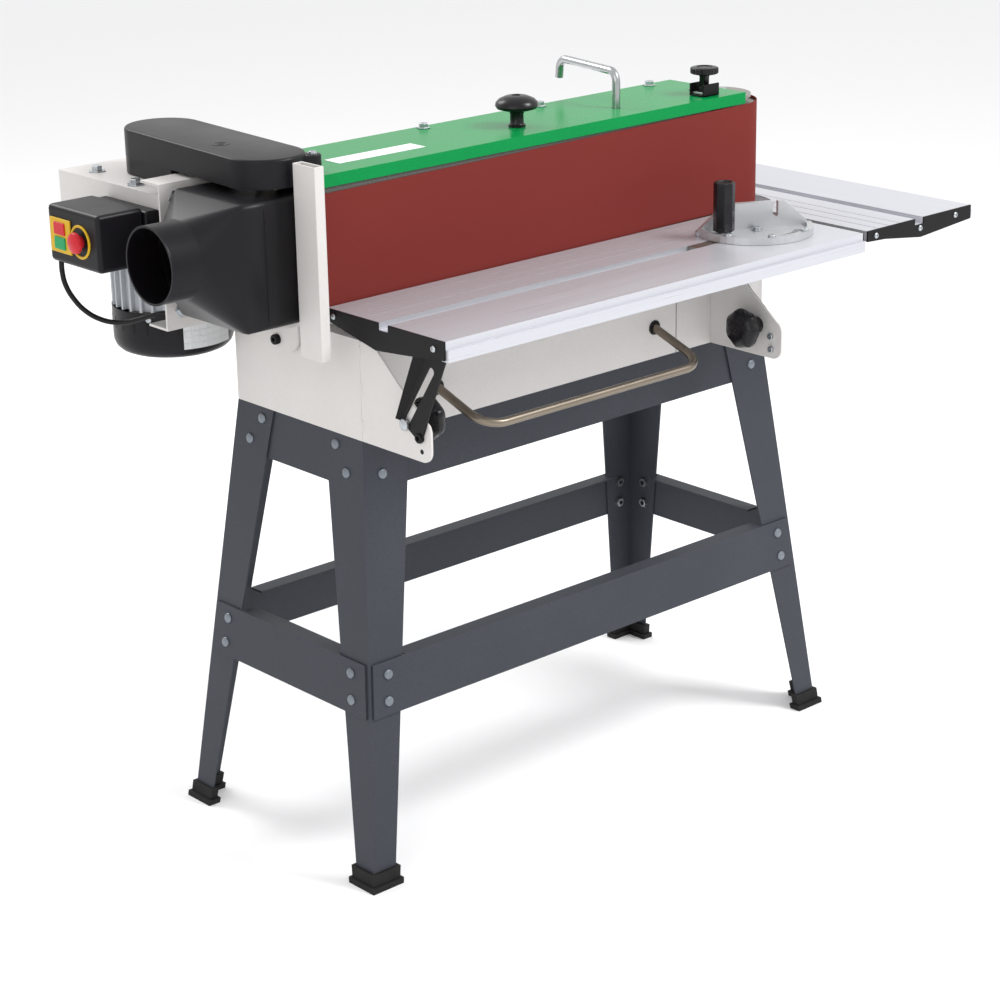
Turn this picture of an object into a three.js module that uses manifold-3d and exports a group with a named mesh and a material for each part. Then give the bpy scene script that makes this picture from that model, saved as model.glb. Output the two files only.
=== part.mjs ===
// Edge belt sander on a four-leg steel stand: a vertical abrasive belt runs between two rollers behind an
// aluminium work table, a vertical motor drives the left roller through a poly-V belt, and a second table
// stands beside the right roller. Millimetres, +X along the belt to the right, -Y towards the operator,
// +Z up.
import * as THREE from 'three';
import { mergeVertices } from 'three/addons/utils/BufferGeometryUtils.js';
import Module from 'manifold-3d';

const wasm = await Module();
wasm.setup();

// ---- driving dimensions -------------------------------------------------------------------------------
const FIT = 0.4;                    // clearance kept between neighbouring pieces

const STAND_HEIGHT = 597;
const STAND_TOP = { halfLength: 377, halfDepth: 133 };
const STAND_FLOOR = { halfLength: 440, halfDepth: 202 };
const LEG_SHEET = 2.5;
const LEG_FLANGE = { top: 78, floor: 36 };
const FOOT_SOLE = 6;
const FOOT_HEIGHT = 24;
const UPPER_RAIL = { bottom: 529, top: 596.5, flange: 22 };
const LOWER_RAIL = { bottom: 231, top: 304, flange: 22 };

const CABINET = { left: -377, right: 379, front: -133, back: 133, bottom: 597.4, top: 732, sheet: 2 };
const EAR_SHEET = 3;
const EAR_OUTER = { left: -377, right: 273 };     // outer face of each table ear

const CLAMP_AXIS = { y: -224, z: 642 };           // the table tilts and slides on this bolt line
const CLAMP_BOLT_RADIUS = 5;
const SLOT_DIRECTION = new THREE.Vector2(-0.555, 0.832);
const SLOT_TRAVEL = 95;

const TABLE = { left: -391, right: 382, rear: -89.5, top: 769.6, depth: 228, thick: 20 };
const END_TABLE = { left: 409.5, front: -301, back: 165, top: 765, depth: 233, thick: 15, lip: 19 };
const CAP_SHEET = 2;

const ROLLER = { left: -423.6, right: 389.8, y: -25, radius: 59.2, bottom: 765, top: 917 };
// It runs higher on the idler.
const BELT = { outer: 61, thick: 1.5, bottom: 767.4, top: 917.4, climb: 0.008 };
const PLATEN = { left: -355, right: 318, front: -79.9, back: -74, padLeft: -398 };
const BASE_PLATE = { bottom: 751, top: 757, back: 60 };
const TILT_AXIS = { y: 62, z: 744 };
const COVER = { left: -400, right: 388, front: -86.8, back: 65, lip: 922, top: 938.3, skirt: 800, sheet: 2 };

const HOOD = { right: -436, left: -520, front: -92, back: 54, bottom: 757.5, top: 922, wall: 2.5 };
const PORT = { y: -24, z: 852, radius: 50, start: -566, end: -612 };
const STOP_POST = { left: -439, right: -424, front: -136, back: -92.4, bottom: 715, top: 963, wall: 2 };

const MOTOR = { x: -425, y: 206, radius: 80, bottom: 733, top: 903.5, shaft: 12 };
const FAN_COVER = { radius: 81, bottom: 668, top: 731.5 };
const MOTOR_PLATE = { left: -517, right: -350, front: 84, back: 318, bottom: 904, top: 907,
  flangeBottom: 830 };
const CHANNEL = { left: -530, right: -380, front: 66, depth: 41, bottom: 735, top: 926, sheet: 3 };
const DRIVE_PULLEY = { drive: 30, motor: 36, bottom: 932, top: 950 };
const DRIVE_COVER = { front: [-437, -32], back: [-420, 208], radius: 52, top: 968, step: 930.5,
  bottom: 907.4 };
const COVER_LUG = { x: -384, y: -61, radius: 12, bottom: 939, top: 962 };
const SWITCH_BOX = { left: -611, right: -517.5, front: 88, back: 203, bottom: 820, top: 895, seam: -540 };
const ROCKER = { y: 172, halfWidth: 12, halfHeight: 8, stopZ: 867, startZ: 848, proud: 4, depth: 12 };
const E_STOP = { y: 128.6, z: 856, cap: 14, stem: 8, proud: 13 };

const TOP_KNOB = { x: -9.4, y: -32.6, radius: 29.5 };
const TRACKING = { x: 331, y: -58.6, radius: 20.5 };
const LEVER = { x: 176, y: -36, radius: 5.8, height: 989, reach: [203, 105], tip: 961 };
const GUARD_BAR = { left: -249, right: 155, radius: 6, wall: 648, run: 609, y: -228 };

const MITRE = { x: 284, y: -201.5, turn: -29.3, radius: 83, rim: 9, rimHeight: 10, base: 5, fence: 42 };
const MITRE_BAR = { left: 160, right: 332, halfWidth: 9.2, bottom: 760.4, top: 769.3 };
const MITRE_HANDLE = { reach: 62, radius: 14.5, spacer: 9, bottom: 781, top: 851 };

const CABLE_RADIUS = 3.4;
const CABLE_ROUTE = [
  [-603, 190, 819.4], [-603, 190, 806], [-601, 188, 789], [-594, 181, 769], [-583, 171, 752], [-569, 161,
    741],
  [-555, 151, 736], [-543, 140, 736], [-533, 127, 740], [-524, 112, 746], [-516, 96, 751], [-511, 80, 753],
];

// ---- finishes -----------------------------------------------------------------------------------------
const FINISHES = {
  bluegreySteel: { color: 0x44474f, roughness: 0.55, metalness: 0.2 },
  warmGreySteel: { color: 0xcfcbc5, roughness: 0.5, metalness: 0.15 },
  greenSteel: { color: 0x0a9a4c, roughness: 0.3, metalness: 0.1 },
  blackSteel: { color: 0x17161a, roughness: 0.5, metalness: 0.2 },
  aluminium: { color: 0xc9cdd2, roughness: 0.4, metalness: 0.9 },
  castAluminium: { color: 0xcdd0d2, roughness: 0.5, metalness: 0.8 },
  zinc: { color: 0xb8bcbf, roughness: 0.35, metalness: 0.9 },
  bareSteel: { color: 0x8b8880, roughness: 0.35, metalness: 0.9 },
  blackPlastic: { color: 0x17151a, roughness: 0.35, metalness: 0 },
  rubber: { color: 0x1a1a1a, roughness: 0.85, metalness: 0 },
  abrasive: { color: 0x7a2d28, roughness: 0.95, metalness: 0 },
  graphite: { color: 0x55534f, roughness: 0.9, metalness: 0 },
  motorGrey: { color: 0xb9bcc0, roughness: 0.5, metalness: 0.5 },
  red: { color: 0xc4202c, roughness: 0.4, metalness: 0 },
  green: { color: 0x0d9b55, roughness: 0.4, metalness: 0 },
};

// ---- geometry helpers ---------------------------------------------------------------------------------
function signedVolume(geometry) {
  const position = geometry.attributes.position;
  const corners = [new THREE.Vector3(), new THREE.Vector3(), new THREE.Vector3()];
  let volume = 0;
  for (let i = 0; i < geometry.index.count; i += 3) {
    corners.forEach((corner, k) => corner.fromBufferAttribute(position, geometry.index.getX(i + k)));
    volume += corners[0].dot(corners[1].clone().cross(corners[2])) / 6;
  }
  return volume;
}

// Merges shared vertices, drops triangles of no area and turns every face outwards.
function tidy(geometry) {
  const bare = geometry.clone();
  bare.deleteAttribute('normal');
  bare.deleteAttribute('uv');
  const merged = mergeVertices(bare, 1e-3);
  const index = [];
  for (let i = 0; i < merged.index.count; i += 3) {
    const [a, b, c] = [0, 1, 2].map((k) => merged.index.getX(i + k));
    if (a !== b && b !== c && c !== a) index.push(a, b, c);
  }
  merged.setIndex(index);
  if (signedVolume(merged) < 0) {
    for (let i = 0; i < index.length; i += 3) [index[i], index[i + 1]] = [index[i + 1], index[i]];
    merged.setIndex(index);
  }
  return merged;
}

function toSolid(geometry) {
  const clean = tidy(geometry);
  return new wasm.Manifold(new wasm.Mesh({
    numProp: 3,
    vertProperties: new Float32Array(clean.attributes.position.array),
    triVerts: new Uint32Array(clean.index.array),
  }));
}

function fromSolid(solid) {
  const mesh = solid.getMesh();
  const geometry = new THREE.BufferGeometry();
  geometry.setAttribute('position', new THREE.BufferAttribute(new Float32Array(mesh.vertProperties), 3));
  geometry.setIndex(Array.from(mesh.triVerts));
  return geometry;
}

const join = (...pieces) => fromSolid(pieces.map(toSolid).reduce((sum, piece) => sum.add(piece)));
const cut = (base, ...tools) => fromSolid(tools.map(toSolid).reduce((left, tool) => left.subtract(tool),
  toSolid(base)));

// A prism of an outline between two planes across an axis. The outline is [y, z] for x, [x, z] for y,
// [x, y] for z.
function prism(axis, outline, from, to, holes = []) {
  const toVectors = (points) => points.map(([u, v]) => new THREE.Vector2(u, v));
  const shape = new THREE.Shape(toVectors(outline));
  shape.holes = holes.map((hole) => new THREE.Path(toVectors(hole)));
  const geometry = new THREE.ExtrudeGeometry(shape, { depth: to - from, bevelEnabled: false });
  const [X, Y, Z] = [new THREE.Vector3(1, 0, 0), new THREE.Vector3(0, 1, 0), new THREE.Vector3(0, 0, 1)];
  const frame = new THREE.Matrix4();
  if (axis === 'x') frame.makeBasis(Y, Z, X).setPosition(from, 0, 0);
  if (axis === 'y') frame.makeBasis(X, Z, Y.clone().negate()).setPosition(0, to, 0);
  if (axis === 'z') frame.makeBasis(X, Y, Z).setPosition(0, 0, from);
  return geometry.applyMatrix4(frame);
}

function box(x0, x1, y0, y1, z0, z1) {
  return new THREE.BoxGeometry(x1 - x0, y1 - y0, z1 - z0)
    .translate((x0 + x1) / 2, (y0 + y1) / 2, (z0 + z1) / 2);
}

function arc(u, v, radius, fromDeg, toDeg, steps) {
  return Array.from({ length: steps + 1 }, (_, i) => {
    const angle = THREE.MathUtils.degToRad(fromDeg + ((toDeg - fromDeg) * i) / steps);
    return [u + radius * Math.cos(angle), v + radius * Math.sin(angle)];
  });
}

const circle = (u, v, radius, sides = 20) => arc(u, v, radius, 0, 360 - 360 / sides, sides - 1);
const cylinder = (axis, u, v, radius, from, to, sides = 20) => prism(axis, circle(u, v, radius, sides),
  from, to);

// A turned piece about a line along z or x through (u, v). The profile is [radius, distance along the axis].
function turned(axis, u, v, profile, sides = 28) {
  const geometry = new THREE.LatheGeometry(profile.map(([r, h]) => new THREE.Vector2(r, h)), sides);
  if (axis === 'z') return geometry.rotateX(Math.PI / 2).translate(u, v, 0);
  return geometry.rotateZ(-Math.PI / 2).translate(0, u, v);
}

// Skins a row of sections with the same number of points, and closes both ends. A convex end may carry
// points
// along its straight sides, so it is closed from a middle point.
function loft(sections, flatten, convex = false) {
  const count = sections[0].length;
  const last = sections.length - 1;
  const points = sections.flat();
  const index = [];
  for (let s = 0; s < last; s += 1) {
    for (let i = 0; i < count; i += 1) {
      const [a, b] = [s * count + i, s * count + ((i + 1) % count)];
      index.push(a, b, b + count, a, b + count, a + count);
    }
  }
  for (const [end, wanted] of [[0, -1], [last, 1]]) {
    const contour = sections[end].map(flatten);
    const facing = wanted * Math.sign(THREE.ShapeUtils.area(contour));
    if (convex) {
      points.push([0, 1, 2].map((k) => sections[end].reduce((sum, point) => sum + point[k] / count, 0)));
      const middle = points.length - 1;
      for (let i = 0; i < count; i += 1) {
        const [a, b] = [end * count + i, end * count + ((i + 1) % count)];
        index.push(...(wanted > 0 ? [middle, a, b] : [middle, b, a]));
      }
      continue;
    }
    for (const face of THREE.ShapeUtils.triangulateShape(contour, [])) {
      const turn = Math.sign(THREE.ShapeUtils.area(face.map((k) => contour[k])));
      const ordered = turn === facing ? face : [face[0], face[2], face[1]];
      index.push(...ordered.map((k) => k + end * count));
    }
  }
  const geometry = new THREE.BufferGeometry();
  geometry.setAttribute('position', new THREE.Float32BufferAttribute(points.flat(), 3));
  geometry.setIndex(index);
  return tidy(geometry);
}

// A round bar along straight runs with bent corners.
function bentBar(points, radius, bend, steps, sides = 10) {
  const corners = points.map((point) => new THREE.Vector3(...point));
  const path = new THREE.CurvePath();
  let start = corners[0];
  for (let i = 1; i < corners.length - 1; i += 1) {
    const before = corners[i].clone().sub(corners[i - 1]).setLength(bend);
    const after = corners[i + 1].clone().sub(corners[i]).setLength(bend);
    const [enter, leave] = [corners[i].clone().sub(before), corners[i].clone().add(after)];
    path.add(new THREE.LineCurve3(start, enter));
    path.add(new THREE.QuadraticBezierCurve3(enter, corners[i], leave));
    start = leave;
  }
  path.add(new THREE.LineCurve3(start, corners[corners.length - 1]));
  return sweep(path, radius, steps, sides);
}

function sweep(path, radius, steps, sides) {
  const section = new THREE.Shape(circle(0, 0, radius, sides).map(([u, v]) => new THREE.Vector2(u, v)));
  return tidy(new THREE.ExtrudeGeometry(section, { steps, extrudePath: path, bevelEnabled: false }));
}

// The outline of a loop round two circles, counter-clockwise.
function loopOutline([x1, y1], r1, [x2, y2], r2, steps) {
  const heading = THREE.MathUtils.radToDeg(Math.atan2(y2 - y1, x2 - x1));
  const lean = THREE.MathUtils.radToDeg(Math.acos((r1 - r2) / Math.hypot(x2 - x1, y2 - y1)));
  return [
    ...arc(x2, y2, r2, heading - lean, heading + lean, steps),
    ...arc(x1, y1, r1, heading + lean, heading + 360 - lean, steps),
  ];
}

const machine = new THREE.Group();

function add(name, geometry, finish) {
  const mesh = new THREE.Mesh(tidy(geometry), new THREE.MeshStandardMaterial(FINISHES[finish]));
  mesh.name = name;
  machine.add(mesh);
}

// ---- stand --------------------------------------------------------------------------------------------
const between = (floor, top, z) => floor + ((top - floor) * z) / STAND_HEIGHT;
const halfLength = (z) => between(STAND_FLOOR.halfLength, STAND_TOP.halfLength, z);
const halfDepth = (z) => between(STAND_FLOOR.halfDepth, STAND_TOP.halfDepth, z);
const flangeWidth = (z) => between(LEG_FLANGE.floor, LEG_FLANGE.top, z);
const fromAbove = ([x, y]) => new THREE.Vector2(x, y);

// The angle section of a leg at one height, grown outwards by an outset.
function legSection(sideX, sideY, z, outset) {
  const [near, far, wall] = [-outset, flangeWidth(z) + outset, LEG_SHEET + outset];
  const outline = [[near, near], [far, near], [far, wall], [wall, wall], [wall, far], [near, far]];
  return outline.map(([u, v]) => [sideX * (halfLength(z) - u), sideY * (halfDepth(z) - v), z]);
}

function legSolid(sideX, sideY, from, to, outset) {
  return loft([legSection(sideX, sideY, from, outset), legSection(sideX, sideY, to, outset)], fromAbove);
}

for (const [end, sideX] of [['left', -1], ['right', 1]]) {
  for (const [face, sideY] of [['front', -1], ['back', 1]]) {
    add(`leg_${face}_${end}`, legSolid(sideX, sideY, FOOT_SOLE, STAND_HEIGHT, 0), 'bluegreySteel');
    const boot = join(legSolid(sideX, sideY, 0, FOOT_HEIGHT, 4.5), legSolid(sideX, sideY, 0, 8, 8));
    const pocket = legSolid(sideX, sideY, FOOT_SOLE - FIT, FOOT_HEIGHT + 6, FIT);
    add(`foot_${face}_${end}`, cut(boot, pocket), 'rubber');
  }
}

// Upper rails are angles bolted inside the leg flanges, with their top flanges under the cabinet.
function upperRailOutline(half, side) {
  const inset = LEG_SHEET + FIT;
  const { bottom, top, flange } = UPPER_RAIL;
  const [low, high] = [half(bottom) - inset, half(top) - inset];
  return [[low, bottom], [high, top], [high - flange, top], [high - flange, top - LEG_SHEET],
    [high - LEG_SHEET, top - LEG_SHEET], [low - LEG_SHEET, bottom]].map(([u, z]) => [side * u, z]);
}
const upperLong = STAND_TOP.halfLength - 2 * (LEG_SHEET + FIT);
const upperShort = STAND_TOP.halfDepth - LEG_SHEET - UPPER_RAIL.flange - 2 * FIT;
for (const [face, side] of [['front', -1], ['back', 1]]) {
  add(`upper_rail_${face}`, prism('x', upperRailOutline(halfDepth, side), -upperLong, upperLong),
    'bluegreySteel');
}
for (const [end, side] of [['left', -1], ['right', 1]]) {
  add(`upper_rail_${end}`, prism('y', upperRailOutline(halfLength, side), -upperShort, upperShort),
    'bluegreySteel');
}

// Lower rails are flat strips bolted outside the leg flanges, with a stiffening flange between the legs.
function lowerRail(half, across, side, alongX) {
  const { bottom, top, flange } = LOWER_RAIL;
  const place = (u, v, z) => (alongX ? [u, side * v, z] : [side * v, u, z]);
  const section = (z) => {
    const [reach, face] = [across(z) - 5, half(z) + FIT];
    return [[-reach, face], [reach, face], [reach, face + LEG_SHEET], [-reach, face + LEG_SHEET]]
      .map(([u, v]) => place(u, v, z));
  };
  const [reach, face] = [across(top) - flangeWidth(top) - 4, half(top) + FIT];
  const [a, b] = [place(-reach, face - flange, top - LEG_SHEET), place(reach, face + LEG_SHEET / 2, top)];
  const lip = box(Math.min(a[0], b[0]), Math.max(a[0], b[0]), Math.min(a[1], b[1]), Math.max(a[1], b[1]),
    a[2], b[2]);
  return join(loft([section(bottom), section(top)], fromAbove), lip);
}
for (const [face, side] of [['front', -1], ['back', 1]]) {
  add(`lower_rail_${face}`, lowerRail(halfDepth, halfLength, side, true), 'bluegreySteel');
}
for (const [end, side] of [['left', -1], ['right', 1]]) {
  add(`lower_rail_${end}`, lowerRail(halfLength, halfDepth, side, false), 'bluegreySteel');
}

// ---- cabinet, ears and guard bar ----------------------------------------------------------------------
const { left: cabLeft, right: cabRight, front: cabFront, back: cabBack, sheet } = CABINET;
const shell = box(cabLeft, cabRight, cabFront, cabBack, CABINET.bottom, CABINET.top);
const inside = box(cabLeft + sheet, cabRight - sheet, cabFront + sheet, cabBack - sheet, 590,
  CABINET.top - sheet);
const barSlope = (GUARD_BAR.wall - GUARD_BAR.run) / (-118 - GUARD_BAR.y);
const barHoleZ = GUARD_BAR.run + (cabFront - GUARD_BAR.y) * barSlope;
const barHoles = [GUARD_BAR.left, GUARD_BAR.right].map((x) => cylinder('y', x, barHoleZ, 8, cabFront - 5,
  cabFront + 8));
add('cabinet', cut(shell, inside, ...barHoles), 'warmGreySteel');

const earOutline = [
  [-133.4, 731], [-161, 731], [-207.5, 690], [-257, 653],
  ...arc(-252, 637, 17, 140, 180, 4), ...arc(-253, 613.5, 16, 180, 270, 6), [-133.4, 597.5],
];
for (const [end, outer, out] of [['left', EAR_OUTER.left, -1], ['right', EAR_OUTER.right, 1]]) {
  const inner = outer - out * EAR_SHEET;
  const bolthole = circle(CLAMP_AXIS.y, CLAMP_AXIS.z, CLAMP_BOLT_RADIUS + 0.6, 16);
  const ear = prism('x', earOutline, Math.min(inner, outer), Math.max(inner, outer), [bolthole]);
  add(`table_ear_${end}`, ear, 'warmGreySteel');
}

add('guard_bar', bentBar([
  [GUARD_BAR.left, -118, GUARD_BAR.wall], [GUARD_BAR.left, GUARD_BAR.y, GUARD_BAR.run],
  [GUARD_BAR.right, GUARD_BAR.y, GUARD_BAR.run], [GUARD_BAR.right, -118, GUARD_BAR.wall],
], GUARD_BAR.radius, 34, 60), 'bareSteel');

// ---- work table, its arms and clamps ------------------------------------------------------------------
// The extruded plank: three fine grooves, the mitre slot, a stepped front edge and ribs underneath.
// A point is [distance from the rear edge, height below the top].
function plankOutline(depth, thick, lip = 26) {
  const scale = depth / TABLE.depth;
  const outline = [[0, 0]];
  for (const groove of [23.5, 47, 70]) {
    const at = groove * scale;
    outline.push([at, 0], [at, -1.2], [at + 1.6, -1.2], [at + 1.6, 0]);
  }
  const [slot0, slot1] = slotEdges(depth);
  outline.push([slot0, 0], [slot0, -9.6], [slot1, -9.6], [slot1, 0]);
  const step = lip * 0.41;
  outline.push([depth, 0], [depth, -step], [depth + 5, -step], [depth + 5, -lip]);
  outline.push([depth - 8, -lip], [depth - 8, -thick]);
  for (const rib of [0.9, 0.66, 0.3]) {
    const at = depth * rib;
    outline.push([at, -thick], [at, -13], [at - depth * 0.14, -13], [at - depth * 0.14, -thick]);
  }
  outline.push([0, -thick]);
  return outline;
}
function slotEdges(depth) {
  const centre = (112 * depth) / TABLE.depth;
  return [centre - 9.7, centre + 9.7];
}

// The folded end cap closes the plank's end. Its lower edge is a row of [part of the depth, height].
function capOutline(depth, lower) {
  const [slot0, slot1] = slotEdges(depth);
  return [[0, 0], [slot0, 0], [slot0, -9.6], [slot1, -9.6], [slot1, 0], [depth, 0],
    ...lower.map(([part, height]) => [part * depth, height])];
}
const TABLE_CAP = [[1, -24], [0.667, -32], [0.425, -37], [0, -16]];
const END_TABLE_CAP = [[1, -20], [0.507, -28.5], [0.165, -17.5], [0, -15.5]];
const acrossTable = (points) => points.map(([s, h]) => [TABLE.rear - s, TABLE.top + h]);
const acrossEndTable = (points) => points.map(([s, h]) => [END_TABLE.left + s, END_TABLE.top + h]);

add('table_top', prism('x', acrossTable(plankOutline(TABLE.depth, TABLE.thick)), TABLE.left,
  TABLE.right), 'aluminium');
const capGap = 0.3;
const tableCap = acrossTable(capOutline(TABLE.depth, TABLE_CAP));
add('table_cap_left', prism('x', tableCap, TABLE.left - CAP_SHEET - capGap, TABLE.left - capGap),
  'blackSteel');
add('table_cap_right', prism('x', tableCap, TABLE.right + capGap, TABLE.right + CAP_SHEET + capGap),
  'blackSteel');

// The left arm is folded: a slotted web with a flange bent outwards and back. The right arm is a flat cradle
// behind its ear, and the same slot opens at its front edge.
function armSection(z, outer, out) {
  const rise = z - 622;
  const [frontEdge, fold] = [-252 - rise * 0.444, -204 - rise * 0.532];
  const spread = 4 + rise * 0.047;
  const [webOut, webIn] = [outer + out * 3.8, outer + out * 1.2];
  return [[webIn, frontEdge], [webOut, frontEdge], [webOut, fold], [webOut + out * spread,
    fold + spread * 1.25],
    [webOut + out * (spread - 2), fold + spread * 1.25 + 1.6], [webIn, fold + 1.5]].map(([x, y]) => [x,
      y, z]);
}
const slotEnd = [CLAMP_AXIS.y + SLOT_DIRECTION.x * SLOT_TRAVEL,
  CLAMP_AXIS.z + SLOT_DIRECTION.y * SLOT_TRAVEL];
const armSlot = loopOutline([CLAMP_AXIS.y, CLAMP_AXIS.z], 5.5, slotEnd, 5.5, 8);
const cradleOutline = [[-104, 748.6], [-150, 748.6], [-165, 728], [-206, 688], [-238, 664], [-243, 642],
  [-236, 626], [-219, 624], [-172, 672], [-142, 708], [-136, 736], [-104, 736]];
const armHeel = [[-262, 600], [-150, 600], [-150, 700], [-205, 652], [-254, 622]];
for (const [end, outer, out] of [['left', EAR_OUTER.left, -1], ['right', EAR_OUTER.right, 1]]) {
  const slot = prism('x', armSlot, outer - 12, outer + 12);
  if (end === 'left') {
    const blank = loft([armSection(620, outer, out), armSection(748.6, outer, out)], fromAbove);
    add('support_arm_left', cut(blank, slot, prism('x', armHeel, outer - 40, outer + 40)), 'blackSteel');
  } else {
    const web = prism('x', cradleOutline, outer + 1.2, outer + 3.8);
    const foot = box(outer + 1.2, outer + 18, -146, -104, 746, 748.6);
    add('support_arm_right', cut(join(web, foot), slot), 'blackSteel');
  }

  // Carriage bolt through arm and ear; its length runs inwards from the outer face of the ear.
  const along = (distance) => outer + out * distance;
  const boltProfile = [[0, 9.2], [4, 9], [7.4, 7], [8, 4.2], [CLAMP_BOLT_RADIUS, 4.2],
    [CLAMP_BOLT_RADIUS, -28], [0, -28]];
  const bolt = boltProfile.map(([r, d]) => [r, along(d)]);
  add(`clamp_bolt_${end}`, turned('x', CLAMP_AXIS.y, CLAMP_AXIS.z, bolt, 20), 'zinc');
  const knobProfile = [[0, -32], [5.5, -32], [5.5, -3.6], [12, -3.6], [12, -22], [25, -25], [29, -32],
    [28, -42], [21, -47], [0, -48]];
  const knob = knobProfile.map(([r, d]) => [r, along(d)]);
  add(`lock_knob_${end}`, turned('x', CLAMP_AXIS.y, CLAMP_AXIS.z, knob), 'blackPlastic');
}

// ---- mitre gauge --------------------------------------------------------------------------------------
const tableTop = TABLE.top + FIT;
const handleX = MITRE.x - MITRE_HANDLE.reach;
const bar = box(MITRE_BAR.left, MITRE_BAR.right, MITRE.y - MITRE_BAR.halfWidth,
  MITRE.y + MITRE_BAR.halfWidth,
  MITRE_BAR.bottom, MITRE_BAR.top);
add('mitre_bar', cut(bar, cylinder('z', handleX, MITRE.y, 4.6, MITRE_BAR.bottom + 3, MITRE_BAR.top + 5)),
  'bareSteel');

const arcBand = (radius, half, from, to, steps) => [
  ...arc(0, 0, radius + half, from, to, steps), ...arc(0, 0, radius - half, to, from, steps)];
const rim = prism('z', arcBand(MITRE.radius - MITRE.rim / 2, MITRE.rim / 2, 180, 360, 24), 0,
  MITRE.rimHeight);
const web = prism('z', arc(0, 0, MITRE.radius - 1, 180, 360, 24), 0, MITRE.base);
const arcSlot = prism('z', arcBand(MITRE_HANDLE.reach, 5.5, 204, 336, 20), -1, MITRE.base + 1);
const arcSlotEnds = [208, 332].map((deg) => {
  const [u, v] = arc(0, 0, MITRE_HANDLE.reach, deg, deg, 1)[0];
  return cylinder('z', u, v, 5.5, -1, MITRE.base + 1, 14);
});
const fence = prism('y', [[-85, 0], [85, 0], [85, MITRE.base], [43, MITRE.fence], [-43, MITRE.fence],
  [-85, MITRE.base]], -4, 5);
const fenceNotch = prism('y', [[26, 60], [26, 24], ...arc(30, 24, 4, 180, 360, 6), [34, 60]], -10, 10);
const mitreHead = cut(join(rim, web, fence), arcSlot, ...arcSlotEnds, fenceNotch)
  .rotateZ(THREE.MathUtils.degToRad(MITRE.turn)).translate(MITRE.x, MITRE.y, tableTop);
add('mitre_head', mitreHead, 'castAluminium');

const { radius: gripRadius, spacer, bottom: gripBottom, top: gripTop } = MITRE_HANDLE;
const stemTop = tableTop + MITRE.base + FIT;
add('mitre_handle', turned('z', handleX, MITRE.y, [
  [0, MITRE_BAR.bottom + 3.5], [4, MITRE_BAR.bottom + 3.5], [4, stemTop], [spacer, stemTop], [spacer,
    gripBottom],
  [gripRadius, gripBottom], [gripRadius, gripTop], [0, gripTop],
], 12), 'blackPlastic');

// ---- end table ----------------------------------------------------------------------------------------
const endOutline = acrossEndTable(plankOutline(END_TABLE.depth, END_TABLE.thick, END_TABLE.lip));
const endPlank = prism('y', endOutline, END_TABLE.front, END_TABLE.back);
const rollerNotch = cylinder('z', ROLLER.right, ROLLER.y, 88, 700, 800, 40);
add('end_table_top', cut(endPlank, rollerNotch), 'aluminium');
const endCap = acrossEndTable(capOutline(END_TABLE.depth, END_TABLE_CAP));
add('end_table_cap', prism('y', endCap, END_TABLE.front - CAP_SHEET - capGap, END_TABLE.front - capGap),
  'blackSteel');

const bracketWall = cabRight + FIT;
const bracketTop = END_TABLE.top - END_TABLE.thick - FIT;
const gusset = [[bracketWall, 690], [bracketWall, 728], [388, 728], [398, bracketTop], [612, bracketTop], [612, 736]];
add('end_table_bracket', join(
  box(bracketWall, bracketWall + 3, -125, 95, 690, 728),
  prism('y', gusset, -125, -121),
  prism('y', gusset, 91, 95),
), 'blackSteel');

// ---- sanding head: welded frame with the platen, base plate, rear wall, tilt lugs and lock quadrant ------
const { bottom: baseBottom, top: baseTop } = BASE_PLATE;
const lugSpans = [[-354, -346], [300, 308]];
const quadrantX = [-383, -379.5];
const lockRadius = Math.hypot(TILT_AXIS.y - 30, TILT_AXIS.z - 703);
const lockSlot = [...arc(TILT_AXIS.y, TILT_AXIS.z, lockRadius + 4.5, 225, 239, 6),
  ...arc(TILT_AXIS.y, TILT_AXIS.z, lockRadius - 4.5, 239, 225, 6)];
const quadrant = [[-14, baseTop], [-14, 712], ...arc(8, 712, 22, 180, 270, 5), ...arc(34, 702, 12, 270,
  360, 4), [46, baseTop]];
const frameBody = join(
  box(-470, 406, PLATEN.front, BASE_PLATE.back, baseBottom, baseTop),
  box(PLATEN.left, PLATEN.right, PLATEN.front, PLATEN.back, baseBottom, 922),
  box(PLATEN.left, PLATEN.right, 57, BASE_PLATE.back, baseBottom, 935.8),
  box(PLATEN.left, PLATEN.right, 45, BASE_PLATE.back, 933, 935.8),
  ...lugSpans.map(([a, b]) => box(a, b, 50, 74, 736.4, baseTop)),
  prism('x', quadrant, ...quadrantX),
);
add('head_frame', cut(
  frameBody,
  cylinder('z', ROLLER.left, ROLLER.y, MOTOR.shaft + 0.6, 740, 770),
  box(364, 402.4, ROLLER.y - 12, ROLLER.y + 12, 740, 770),
  ...lugSpans.map(([a, b]) => cylinder('x', TILT_AXIS.y, TILT_AXIS.z, 5.4, a - 2, b + 2)),
  prism('x', lockSlot, quadrantX[0] - 3, quadrantX[1] + 3),
), 'warmGreySteel');

// The pivot rail lies on the cabinet and carries the head's lugs on a pin at each end.
const pivots = [[[-364, -357], [-358, -343]], [[311, 318], [297, 312]]];
add('pivot_rail', join(
  box(-364, 318, 50, 74, CABINET.top + FIT, 735.4),
  ...pivots.map(([[from, to]]) => box(from, to, 50, 74, CABINET.top + FIT, 749.6)),
  ...pivots.map(([, [from, to]]) => cylinder('x', TILT_AXIS.y, TILT_AXIS.z, 5, from, to, 16)),
), 'warmGreySteel');

add('platen_pad', box(PLATEN.padLeft, PLATEN.right, -84.1, -80.3, 768, 923.5), 'graphite');

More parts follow.
